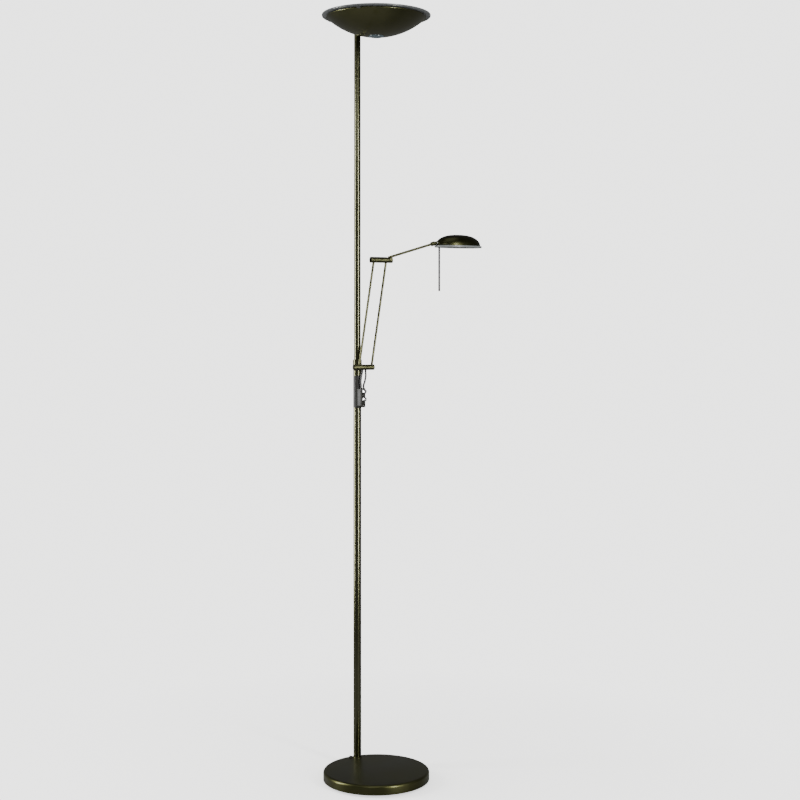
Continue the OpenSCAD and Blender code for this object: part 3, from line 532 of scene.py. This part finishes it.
poleCentre = middleOf(*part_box("lower_pole"))
bronzeTone = dict(dark=(0.07, 0.071, 0.027), light=(0.1, 0.099, 0.042), bare=(0.22, 0.18, 0.08),
    metallic=1.0, coat=0.28, coatRough=0.12)
looks = {
    "bronzeSpun": dict(bronzeTone, rough=(0.3, 0.4), scale=9.0, rub=0.3, relief=0.08, lines=1500.0,
        lineRelief=0.16),
    "bronzeTube": dict(bronzeTone, dark=(0.075, 0.076, 0.038), light=(0.098, 0.098, 0.053),
        rough=(0.23, 0.26), scale=4.0, speck=0.03, relief=0.01, lines=38.0, along=1.0, lineRelief=0.02,
        shift=(-poleCentre[0], -poleCentre[1], 0)),
    "bronzeCast": dict(bronzeTone, dark=(0.068, 0.069, 0.032), light=(0.094, 0.094, 0.047),
        rough=(0.26, 0.36), scale=40.0, speck=0.08, rub=0.08, relief=0.06, fine=1800.0),
    # The head's dome: a darker copy of the bronze, its colour held low as painted shade so the dome reads
    # nearly black
    "bronzeDomePaintedShade": dict(bronzeTone, dark=(0.024, 0.025, 0.01), light=(0.038, 0.038, 0.016),
        rough=(0.26, 0.36), coat=0.04, scale=16.0, rub=0.15, relief=0.08),
    # The base cover: a darker copy of the bronze, its colour lowered as painted shade, with a little dust on
    # its upward faces
    "bronzeBasePaintedShade": dict(bronzeTone, dark=(0.05, 0.051, 0.019), light=(0.072, 0.072, 0.03),
        rough=(0.28, 0.38), coat=0.06, scale=8.0, rub=0.2, dust=0.02, relief=0.12, lines=900.0,
        lineRelief=0.1),
    "blackPlastic": dict(dark=(0.009, 0.009, 0.007), light=(0.014, 0.014, 0.011), bare=(0.05, 0.05, 0.045),
        rough=(0.42, 0.52), specular=0.32, scale=60.0, rub=0.15, relief=0.3, fine=5200.0, mix=0.8),
    "blackRubber": dict(dark=(0.012, 0.012, 0.012), light=(0.024, 0.024, 0.023), rough=(0.6, 0.8),
        scale=80.0, relief=0.6, fine=3000.0, mix=0.7),
    "leadSheath": dict(dark=(0.011, 0.011, 0.01), light=(0.02, 0.02, 0.018), rough=(0.28, 0.4),
        scale=120.0, relief=0.2),
    "blackIron": dict(dark=(0.012, 0.012, 0.012), light=(0.03, 0.029, 0.027), bare=(0.1, 0.08, 0.06),
        rough=(0.55, 0.75), scale=30.0, rub=0.3, relief=0.7, fine=700.0, depth=0.0002),
    "chrome": dict(dark=(0.86, 0.86, 0.86), light=(0.93, 0.93, 0.92), rough=(0.22, 0.3), metallic=1.0,
        scale=90.0, relief=0.05),
    "handleGrey": dict(dark=(0.05, 0.05, 0.05), light=(0.07, 0.07, 0.068), rough=(0.32, 0.42),
        metallic=0.5, coat=0.1, scale=60.0, relief=0.06),
    "plainSteel": dict(dark=(0.42, 0.42, 0.42), light=(0.56, 0.56, 0.55), bare=(0.7, 0.7, 0.7),
        rough=(0.3, 0.45), metallic=1.0, scale=70.0, rub=0.2, relief=0.2),
    "screwSteel": dict(dark=(0.2, 0.2, 0.2), light=(0.28, 0.28, 0.275), bare=(0.4, 0.4, 0.4),
        rough=(0.3, 0.45), metallic=1.0, scale=70.0, rub=0.3, relief=0.2),
    "nylon": dict(dark=(0.012, 0.012, 0.012), light=(0.02, 0.02, 0.019), rough=(0.4, 0.5), scale=50.0,
        relief=0.2),
    "board": dict(dark=(0.01, 0.09, 0.03), light=(0.02, 0.14, 0.05), rough=(0.3, 0.4), scale=200.0,
        relief=0.2),
    "brightAluminium": dict(dark=(0.72, 0.72, 0.73), light=(0.86, 0.86, 0.86), rough=(0.16, 0.28),
        metallic=1.0, scale=60.0, relief=0.3, swell=420.0, mix=0.15, depth=0.0002),
    "ceramic": dict(dark=(0.7, 0.68, 0.62), light=(0.82, 0.8, 0.76), rough=(0.3, 0.42), coat=0.2,
        scale=120.0, relief=0.25),
}
glassLooks = {
    "satinGlass": dict(dark=(0.2, 0.215, 0.21), light=(0.27, 0.285, 0.28), rough=(0.28, 0.38), clear=0.5,
        relief=0.3),
    "discGlass": dict(dark=(0.095, 0.102, 0.103), light=(0.145, 0.152, 0.152), rough=(0.26, 0.36),
        clear=0.5, relief=0.3),
    "lensGlass": dict(dark=(0.07, 0.095, 0.11), light=(0.11, 0.14, 0.16), rough=(0.12, 0.2), clear=0.45,
        relief=0.1),
    "quartz": dict(dark=(0.95, 0.96, 0.97), light=(0.98, 0.98, 0.99), rough=(0.02, 0.05), clear=1.0,
        relief=0.05),
}
materials = {name: finishMaterial(name, look) for name, look in looks.items()}
materials.update({name: glassMaterial(name, look) for name, look in glassLooks.items()})

# What each material slot of the record looks like on the CAD parts that stay
bySlot = {"bronze_metal": "bronzeCast", "black_iron": "blackIron", "black_rubber": "blackRubber",
    "black_plastic": "blackPlastic", "lead_sheath": "leadSheath", "chrome_trim": "chrome",
    "handle_grey": "handleGrey", "steel_plain": "plainSteel", "black_nylon": "nylon",
    "circuit_board": "board", "pot_metal": "plainSteel", "reflector": "brightAluminium",
    "ceramic": "ceramic", "lamp_quartz": "quartz", "satin_glass": "satinGlass", "blue_lens": "lensGlass"}
ownLook = {"bowl_screws": "screwSteel"}  # nodes whose look isn't their slot's
for node, cadPart in nodes.items():
    if not cadPart.material_slots:
        cadPart.data.materials.append(None)
    for materialSlot in cadPart.material_slots:
        materialSlot.material = materials[ownLook.get(node, bySlot[slotOf[node]])]
print("materials made:", len(materials))


camera = dict(azimuth=-26.0, distance=3.392, aside=0.0557, height=1.0737,  # degrees and metres
    lens=64.98, sensor=36, shiftY=-0.095)  # millimetres, and a share of the picture's width
cameraTurn = math.radians(camera["azimuth"])


# The camera stands level at its distance along the azimuth and a little to the side of it
def placeCamera():
    data = bpy.data.cameras.new("camera")
    data.lens = camera["lens"]
    data.sensor_width = camera["sensor"]
    data.shift_y = camera["shiftY"]
    placed = bpy.data.objects.new("camera", data)
    away, aside = camera["distance"], camera["aside"]
    placed.location.x = math.sin(cameraTurn) * away + math.cos(cameraTurn) * aside
    placed.location.y = -math.cos(cameraTurn) * away + math.sin(cameraTurn) * aside
    placed.location.z = camera["height"]
    placed.rotation_euler = (math.pi / 2, 0, cameraTurn)
    bpy.context.scene.collection.objects.link(placed)
    bpy.context.scene.camera = placed


# Softboxes: aside is the angle in degrees from the camera's side to the right, and aim is the height on
# the lamp's axis that they face
softboxes = dict(
    rightStrip=dict(aside=40, distance=2.6, height=1.15, width=0.3, tall=2.3, power=85, aim=0.95),
    leftWall=dict(aside=-86, distance=2.4, height=1.15, width=0.5, tall=2.3, power=105, aim=0.95),
    frontFill=dict(aside=-10, distance=4.2, height=2.8, width=1.2, tall=0.8, power=22, aim=0.95),
    topSoft=dict(aside=10, distance=0.8, height=3.4, width=2.0, tall=2.0, power=16, aim=0.0),
)


# A softbox stands at its angle and distance from the lamp, and faces the lamp's axis
def placeSoftbox(name, box):
    angle = cameraTurn + math.radians(box["aside"])
    light = bpy.data.lights.new(name, "AREA")
    light.shape = "RECTANGLE"
    light.size = box["width"]
    light.size_y = box["tall"]
    light.energy = box["power"]
    placed = bpy.data.objects.new(name, light)
    x, y = math.sin(angle) * box["distance"], -math.cos(angle) * box["distance"]
    placed.location = (x, y, box["height"])
    towards = Vector((-x, -y, box["aim"] - box["height"]))
    placed.rotation_euler = towards.to_track_quat("-Z", "Y").to_euler()
    bpy.context.scene.collection.objects.link(placed)


sky = dict(seen=3.0, soft=0.8, mirrored=0.17, color=(0.99, 0.99, 0.98, 1))


# White surroundings: bright where the camera looks, dim in mirrors, and in between as light
def makeSky():
    world = bpy.data.worlds.new("studio")
    bpy.context.scene.world = world
    world.use_nodes = True
    tree = world.node_tree
    path = addNode(tree, "ShaderNodeLightPath").outputs
    unseen = remap(tree, path["Is Glossy Ray"], 0.0, 1.0, sky["soft"], sky["mirrored"])
    strength = remap(tree, path["Is Camera Ray"], 0.0, 1.0, unseen, sky["seen"])
    background = tree.nodes["Background"].inputs
    feed(tree, background["Strength"], strength)
    feed(tree, background["Color"], sky["color"])


floorLook = dict(radius=2.6, rings=12, sides=96, fadeFrom=0.2, fadeTo=1.1, rough=0.75,
    pale=(0.9, 0.9, 0.89, 1), mirrored=(0.2, 0.2, 0.2, 1), light=(1, 1, 0.99, 1), glow=1.2)


# Floor disc: point = (r cos a, r sin a, 0); its alpha falls from 1 to 0 with the distance from the axis
def makeFloor():
    angle = anglesRound(floorLook["sides"])
    reach = np.linspace(0, floorLook["radius"], floorLook["rings"])[:, None]
    x, y = reach * np.cos(angle), reach * np.sin(angle)
    points, faces = gridPatch(np.stack([x, y, np.zeros_like(x)], axis=-1))
    mesh = bpy.data.meshes.new("floor")
    mesh.from_pydata(points.tolist(), [], faces.tolist())
    weld(mesh)
    floor = bpy.data.objects.new("floor", mesh)
    bpy.context.scene.collection.objects.link(floor)
    material, tree, shader, vector = startMaterial("paleFloor")
    path = addNode(tree, "ShaderNodeLightPath").outputs
    color = mixColor(tree, path["Is Glossy Ray"], floorLook["pale"], floorLook["mirrored"])
    centreDistance = addNode(tree, "ShaderNodeVectorMath", operation="LENGTH")
    feed(tree, centreDistance.inputs[0], vector)
    fadeFrom, fadeTo = floorLook["fadeFrom"], floorLook["fadeTo"]
    fade = remap(tree, centreDistance.outputs["Value"], fadeFrom, fadeTo, 1.0, 0.0)
    glow = mathNode(tree, "MULTIPLY", path["Is Camera Ray"], floorLook["glow"])
    sockets = {"Base Color": color, "Emission Color": floorLook["light"], "Emission Strength": glow,
        "Roughness": floorLook["rough"], "Alpha": fade}
    for title, item in sockets.items():
        feed(tree, shader[title], item)
    mesh.materials.append(material)


placeCamera()
for name, box in softboxes.items():
    placeSoftbox(name, box)
makeSky()
makeFloor()
print("camera, lights and floor set")


baseCover = dict(
    shoulder=0.006, wall=0.0015, hem=0.0007,
    seatRise=0.001, seatRadius=0.0115, seatBore=0.0051, seatSunk=0.0005, seatEdge=0.0006,  # the pole's seat
)
coverLow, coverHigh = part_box("base_cover")
coverTop = coverHigh.z - baseCover["seatRise"]


# Cover: down the rounded shoulder and the skirt, and back inside by the wall; the pole's seat is a ring
def makeBaseCover():
    wall, hem, shoulder = baseCover["wall"], baseCover["hem"], baseCover["shoulder"]
    radius = (coverHigh.x - coverLow.x) / 2
    cover = rounded([(0, coverTop, 0), (radius, coverTop, shoulder), (radius, coverLow.z, hem),
        (radius - wall, coverLow.z, hem), (radius - wall, coverTop - wall, shoulder - wall),
        (0, coverTop - wall, 0)], steps=9)
    seatRadius, seatFoot = baseCover["seatRadius"], coverTop - baseCover["seatSunk"]
    seat = rounded([(0, seatFoot, 0), (seatRadius, seatFoot, 0),
        (seatRadius, coverHigh.z, baseCover["seatEdge"]), (0, coverHigh.z, 0)])
    seat[:, 0] = np.maximum(seat[:, 0], baseCover["seatBore"])
    patches = [turnedPatch(cover, sides=256), turnedPatch(seat, (*poleCentre, 0))]
    makePiece("baseCover", "base_cover", patches, "bronzeBasePaintedShade")


footRing = dict(width=0.009, floorEdge=0.001, topEdge=0.0005)


# Rubber ring under the cover: a rectangle with rounded corners turned about the middle of the base
def makeFootRing():
    low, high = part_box("foot_ring")
    outside = (high.x - low.x) / 2
    inside = outside - footRing["width"]
    profile = rounded([(inside, low.z, footRing["floorEdge"]), (outside, low.z, footRing["floorEdge"]),
        (outside, high.z, footRing["topEdge"]), (inside, high.z, footRing["topEdge"])])
    makePiece("footRing", "foot_ring", [turnedPatch(profile, sides=160)], "blackRubber")


cordGland = dict(
    bore=0.0022, neck=0.0034, edge=0.0003,
    flange=0.0045, flangeTop=0.0016, flangeEdge=0.0006,
    noseRoot=0.0033, noseFrom=0.0017, rootEdge=0.0002, nose=0.003, noseEdge=0.0005, mouthEdge=0.0004,
)


# Gland: a neck through the cover, a flange on it and a tapering nose, hollow all the way
def makeCordGland():
    low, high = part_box("cord_gland")
    edge, flangeTop = cordGland["edge"], coverTop + cordGland["flangeTop"]
    profile = rounded([(cordGland["bore"], low.z, edge), (cordGland["neck"], low.z, edge),
        (cordGland["neck"], coverTop, 0), (cordGland["flange"], coverTop, edge),
        (cordGland["flange"], flangeTop, cordGland["flangeEdge"]),
        (cordGland["noseRoot"], coverTop + cordGland["noseFrom"], cordGland["rootEdge"]),
        (cordGland["nose"], high.z, cordGland["noseEdge"]),
        (cordGland["bore"], high.z, cordGland["mouthEdge"])])
    gland = turnedPatch(profile, (*middleOf(low, high), 0), sides=48)
    makePiece("cordGland", "cord_gland", [gland], "blackPlastic")


makeBaseCover()
makeFootRing()
makeCordGland()
print("base made")


poles = dict(lip=0.0004, lowerWall=0.00145, upperWall=0.001)


# Tube with softened ends: outer wall up, round the top lip, inner wall down, round the bottom lip
def makePole(name, node, wall):
    low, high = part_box(node)
    outside, lip = (high.x - low.x) / 2, poles["lip"]
    inside = outside - wall
    profile = rounded([(inside, low.z, lip), (outside, low.z, lip), (outside, high.z, lip),
        (inside, high.z, lip)], steps=4)
    makePiece(name, node, [turnedPatch(profile, (*middleOf(low, high), 0))], "bronzeTube")


makePole("lowerPole", "lower_pole", poles["lowerWall"])
makePole("upperPole", "upper_pole", poles["upperWall"])
print("poles made")


coverScrew = dict(
    radius=0.0019, inset=0.00005, seatAt=0.02, rise=0.0008,  # seatAt is measured from the pole's axis
    shank=0.00105, shankEdge=0.0003, length=0.0113, sunk=0.0001, sides=48, rings=20, shankSides=24,
)
crossCut = dict(crown=0.75, halfWidth=0.15, slope=0.05, reach=0.62, endSlope=0.08, depth=0.7)  # shares


# Round head with a cross recess: height = rise (1 - crown r^2)^1/2, less rise times the depth where x or
# y is inside the cross; the last ring falls straight to the seat
def screwHeadPatch(origin, direction, radius):
    r = np.linspace(0, 1, coverScrew["rings"])[:, None]
    angle = anglesRound(coverScrew["sides"])
    x, y = abs(r * np.cos(angle)), abs(r * np.sin(angle))
    near, far = np.minimum(x, y), np.maximum(x, y)
    across = np.clip((crossCut["halfWidth"] - near) / crossCut["slope"], 0, 1)
    along = np.clip((crossCut["reach"] - far) / crossCut["endSlope"], 0, 1)
    z = coverScrew["rise"] * (np.sqrt(1 - crossCut["crown"] * r**2) - across * along * crossCut["depth"])
    r, z = np.vstack([r, r[-1:]]), np.vstack([z, np.zeros_like(z[:1])])
    return gridPatch(aroundAxis(radius * r, z, angle, origin, direction))


# Each cover screw: a head in the pod's front with a plain shank behind it
def makeCoverScrews():
    low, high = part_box("cover_screws")
    outward = np.array(joints["upper_knob_turn"]["axis"])
    radius, shank = coverScrew["radius"], coverScrew["shank"]
    foot, head = -coverScrew["length"], coverScrew["sunk"]
    profile = rounded([(0, foot, 0), (shank, foot, coverScrew["shankEdge"]), (shank, head, 0),
        (0, head, 0)], steps=4)
    patches = []
    for z in (low.z + radius, high.z - radius):
        seat = np.array([*poleCentre, z]) + outward * coverScrew["seatAt"]
        patches.append(screwHeadPatch(seat, outward, radius - coverScrew["inset"]))
        patches.append(turnedPatch(profile, seat, outward, coverScrew["shankSides"]))
    makePiece("coverScrews", "cover_screws", patches, "screwSteel", sharpAngle=50)


knob = dict(
    radius=0.005, back=-0.0027, front=0.0033,  # back and front are measured from the joint
    sides=288, flutes=18, fluteDepth=0.035, fluteFrom=0.9,  # flutes die out below this share of the radius
    backShare=0.86, backRise=0.0009, backEdge=0.0004, frontEdge=0.0008,
    faceShare=0.74, dishShare=0.66, dish=0.0005, dishEdge=0.0003,
    pointer=(0.0008, 0.0029), pointerRadius=0.00028, pointerLift=0.00005,
)


# Knob: a turned profile whose outer wall is fluted, r (1 - d (1 + cos n a) / 2), with a dished face and
# a pointer bar on it
def makeKnob(name, node):
    joint = joints[node + "_turn"]
    radius, back, front, edge = knob["radius"], knob["back"], knob["front"], knob["dishEdge"]
    dished = front - knob["dish"]
    outline = rounded([(0, back, 0), (radius * knob["backShare"], back, knob["backEdge"]),
        (radius, back + knob["backRise"], knob["backEdge"]), (radius, front, knob["frontEdge"]),
        (radius * knob["faceShare"], front, edge), (radius * knob["dishShare"], dished, edge),
        (0, dished, 0)], steps=5)
    r, z = outline[:, :1], outline[:, 1:]
    angle = anglesRound(knob["sides"])
    onWall = np.clip((r / radius - knob["fluteFrom"]) / (1 - knob["fluteFrom"]), 0, 1)
    r = r * (1 - knob["fluteDepth"] * onWall * (1 + np.cos(knob["flutes"] * angle)) / 2)
    body = gridPatch(aroundAxis(r, z, angle, joint["pos_m"], joint["axis"]))
    up, outward = axesAlong(joint["axis"])[1:]
    face = np.asarray(joint["pos_m"]) + outward * (dished + knob["pointerLift"])
    ends = [face + up * reach for reach in knob["pointer"]]
    pointer = sweptPatch(ends, knob["pointerRadius"], sides=10)
    makePiece(name, node, [body, pointer], "chrome", sharpAngle=50)


# CAD shapes that only need their edges rounded, each given as name=(node, finish, width of the edge)
def softenAll(pieces):
    for name, (node, finish, width) in pieces.items():
        softened(name, node, finish, width)


softenAll(dict(
    switchBody=("switch_body", "blackPlastic", 0.0005),
    switchCover=("switch_cover", "blackPlastic", 0.0005),
))
makeCoverScrews()
makeKnob("upperKnob", "upper_knob")
makeKnob("lowerKnob", "lower_knob")
print("switch housing made")


softenAll(dict(
    stopCollar=("stop_collar", "bronzeCast", 0.0006),
    swivelBar=("swivel_bar", "bronzeCast", 0.0007),
    upperBar=("upper_bar", "bronzeCast", 0.0007),
    rearRod=("rear_rod", "bronzeCast", 0.0003),
    frontRod=("front_rod", "bronzeCast", 0.0003),
    readingArm=("upper_arm", "bronzeCast", 0.0005),
    headKnuckle=("head_knuckle", "bronzeCast", 0.0004),
    bowlBracket=("bowl_bracket", "bronzeCast", 0.0008),
    lowerPins=("lower_pins", "bronzeCast", 0.0003),
    upperPins=("upper_pins", "bronzeCast", 0.0003),
    elbowBolt=("elbow_bolt", "bronzeCast", 0.0004),
    tiltPin=("tilt_pin", "chrome", 0.0002),
    glassNut=("glass_nut", "chrome", 0.0002),
    swivelWasher=("swivel_washer", "nylon", 0.0002),
))

leads = dict(
    radius=0.0023, barX=(0.0058, 0.0146), bow=(-0.0024, 0.0003),  # where each leaves the bar, and its bow
    outFromPole=0.0158, apart=0.0048,  # where they enter the pod, from the pole's axis and each side of it
    intoBar=0.0034, intoPod=0.0016, blendInset=0.002, steps=12, sides=24,
)


# The two arm leads: a circle carried from the bar's underside along a smooth curve into the pod's top
def makeArmLeads():
    barUnder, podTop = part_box("swivel_bar")[0].z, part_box("switch_cover")[1].z
    armY = joints["arm_lift"]["pos_m"][1]
    outward = np.array(joints["upper_knob_turn"]["axis"][:2])
    sideways = np.array([-outward[1], outward[0]])
    patches = []
    for barX, side, bow in zip(leads["barX"], (-1, 1), leads["bow"]):
        entry = np.array(poleCentre) + outward * leads["outFromPole"] + sideways * side * leads["apart"]
        route = [
            (barX, armY, barUnder + leads["intoBar"]),
            (barX, armY, barUnder - 0.004),
            (barX + bow, armY, barUnder - 0.015),
            ((barX + entry[0]) / 2 + bow, (armY + entry[1]) / 2, barUnder - 0.028),
            (*entry, podTop + 0.0074),
            (*entry, podTop - leads["intoPod"]),
        ]
        patches.append(sweptPatch(smoothPath(route, leads["steps"]), leads["radius"], leads["sides"]))
    piece = makePiece("armLeads", "arm_leads", patches, "leadSheath", rides=False)
    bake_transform(piece)


makeArmLeads()
print("arm made")


dome = dict(semiX=0.061, wall=0.0012, power=2.5, rows=40, sharpAngle=50)
notch = dict(radius=0.0054, halfWidth=0.005, back=0.012, steps=17)


# Dome rows (s, grow, z): height = rise (1 - s^p)^1/2, out along the top and back along the inside
def domeProfile(rise):
    s = np.sin(np.linspace(0, math.pi / 2, dome["rows"]))
    curve, wall = np.sqrt(1 - s ** dome["power"]), dome["wall"]
    out = np.stack([s, np.zeros_like(s), rise * curve], axis=1)
    back = np.stack([s, -wall * s, (rise - wall) * curve], axis=1)[::-1]
    return np.vstack([out, back])


# Cuts the notch that the knuckle sits in: a round-nosed block across the tilt axis
def cutNotch(piece):
    pivot = np.array(joints["head_tilt"]["pos_m"])
    radius, half, back = notch["radius"], notch["halfWidth"], notch["back"]
    arc = np.linspace(-math.pi / 2, math.pi / 2, notch["steps"])
    nose = np.stack([radius * np.cos(arc), radius * np.sin(arc)], axis=1)
    outline = np.vstack([nose, [(-back, radius), (-back, -back), (0, -back)]])
    x, z = outline.T
    ends = [pivot + np.stack([x, np.full_like(x, y), z], axis=1) for y in (-half, half)]
    points, faces = gridPatch(np.array(ends))
    count = len(outline)
    caps = [list(range(count)), list(range(2 * count - 1, count - 1, -1))]
    mesh = bpy.data.meshes.new("notch")
    mesh.from_pydata(points.tolist(), [], faces.tolist() + caps)
    weld(mesh)
    cutter = bpy.data.objects.new("notch", mesh)
    bpy.context.scene.collection.objects.link(cutter)
    cut = piece.modifiers.new("notch", "BOOLEAN")
    cut.operation = "DIFFERENCE"
    cut.object = cutter
    cut.solver = "EXACT"
    bpy.context.view_layer.update()
    evaluated = piece.evaluated_get(bpy.context.evaluated_depsgraph_get())
    result = bpy.data.meshes.new_from_object(evaluated)
    piece.modifiers.clear()
    piece.data = result
    bpy.data.objects.remove(cutter)
    smoothed(result, dome["sharpAngle"])


# Shell of the reading head: the oval dome with the knuckle's notch cut in its near end
def makeHeadShell():
    low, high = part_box("head_shell")
    centre = (high.x - dome["semiX"], (low.y + high.y) / 2, low.z)
    semiY, rise = (high.y - low.y) / 2, high.z - low.z
    shell = ovalPatch(domeProfile(rise), dome["semiX"], semiY, centre)
    cutNotch(makePiece("headShell", "head_shell", [shell], "bronzeDomePaintedShade", dome["sharpAngle"]))


headGlass = dict(edge=0.0009, flatFrom=0.004)
plateLow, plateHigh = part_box("head_glass")


# Oval plate: flat faces from the middle out to a rim whose edges are rounded
def makeHeadGlass():
    edge, inset = headGlass["edge"], -headGlass["flatFrom"]
    semiX, semiY = (plateHigh.x - plateLow.x) / 2, (plateHigh.y - plateLow.y) / 2
    rim = rounded([(inset, plateLow.z, 0), (0, plateLow.z, edge), (0, plateHigh.z, edge),
        (inset, plateHigh.z, 0)], closed=False)
    rows = np.vstack([(0, 0, plateLow.z), np.column_stack([np.ones(len(rim)), rim]), (0, 0, plateHigh.z)])
    plate = ovalPatch(rows, semiX, semiY, (*middleOf(plateLow, plateHigh), 0))
    makePiece("headGlass", "head_glass", [plate], "satinGlass", sharpAngle=60)


headHandle = dict(tip=0.0018, shoulder=0.0004, stem=0.0016, stemFoot=0.0001, stemTop=0.0003)


# Handle rod: a rounded tip below, and a thinner stem up through the glass
def makeHeadHandle():
    low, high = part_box("head_handle")
    radius, stem = (high.x - low.x) / 2, headHandle["stem"]
    profile = rounded([(0, low.z, 0), (radius, low.z, headHandle["tip"]),
        (radius, plateLow.z, headHandle["shoulder"]), (stem, plateLow.z, headHandle["stemFoot"]),
        (stem, high.z, headHandle["stemTop"]), (0, high.z, 0)], steps=8)
    rod = turnedPatch(profile, (*middleOf(low, high), 0), sides=64)
    makePiece("headHandle", "head_handle", [rod], "handleGrey")


makeHeadShell()
makeHeadGlass()
makeHeadHandle()
print("reading head made")


bowl = dict(
    wall=0.0012, depth=0.045, lensClear=0.0187,  # lensClear is the radius of the lens's hole
    bead=0.0013, beadFrom=-2.0, beadTo=3.4,  # the bead's circle, between two angles in radians
    rimInset=0.0004, rimDrop=0.0007, outerStop=0.001, innerStop=0.0022,  # where the spheres end in it
    sides=320, rows=60, beadSteps=20,
)


# Bowl: out along one sphere, round the rim's bead, and back along the sphere smaller by the wall, where
# z = centre - (R^2 - r^2)^1/2
def makeBowl():
    low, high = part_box("uplight_bowl")
    outside, depth, bead = (high.x - low.x) / 2, bowl["depth"], bowl["bead"]
    rimRadius = outside - bowl["rimInset"]
    sphere = (rimRadius**2 + depth**2) / (2 * depth)
    centreZ = high.z - bowl["rimDrop"] - depth + sphere
    curves = []
    for radius, stop in ((sphere, bowl["outerStop"]), (sphere - bowl["wall"], bowl["innerStop"])):
        r = np.linspace(bowl["lensClear"], rimRadius - stop, bowl["rows"])
        curves.append(np.stack([r, centreZ - np.sqrt(radius**2 - r**2)], axis=1))
    angle = np.linspace(bowl["beadFrom"], bowl["beadTo"], bowl["beadSteps"])
    circle = np.stack([np.cos(angle), np.sin(angle)], axis=1)
    beadLoop = np.array([outside - bead, high.z - bead]) + bead * circle
    profile = np.vstack([curves[0], beadLoop, curves[1][::-1]])
    makePiece("uplightBowl", "uplight_bowl", [turnedPatch(profile, sides=bowl["sides"])], "bronzeSpun")


glassDisc = dict(edge=0.0012, sides=320)


# Glass disc: a flat plate with rounded edges
def makeDisc():
    low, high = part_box("glass_disc")
    radius, edge = (high.x - low.x) / 2, glassDisc["edge"]
    profile = rounded([(0, low.z, 0), (radius, low.z, edge), (radius, high.z, edge), (0, high.z, 0)])
    makePiece("glassDisc", "glass_disc", [turnedPatch(profile, sides=glassDisc["sides"])], "discGlass")


bowlLens = dict(radius=0.0184, curve=0.06, ribHeight=0.00012, ribWidth=0.0012, flange=0.002,
    sides=128, rows=60)


# Lens in the bowl's bottom: z = R - (R^2 - r^2)^1/2 with fine rings, + h cos(pi r / w), under a flat
# flange
def makeLens():
    low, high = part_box("bowl_lens")
    curve, radius, flangeUnder = bowlLens["curve"], bowlLens["radius"], high.z - bowlLens["flange"]
    r = np.linspace(0, radius, bowlLens["rows"])
    sag = curve - np.sqrt(curve**2 - r**2)
    under = low.z + sag + bowlLens["ribHeight"] * np.cos(math.pi * r / bowlLens["ribWidth"])
    flange = (high.x - low.x) / 2
    rest = [(radius, flangeUnder), (flange, flangeUnder), (flange, high.z), (0, high.z)]
    profile = np.vstack([np.stack([r, under], axis=1), rest])
    makePiece("bowlLens", "bowl_lens", [turnedPatch(profile, sides=bowlLens["sides"])], "lensGlass")


makeBowl()
makeDisc()
makeLens()
print("uplight made")
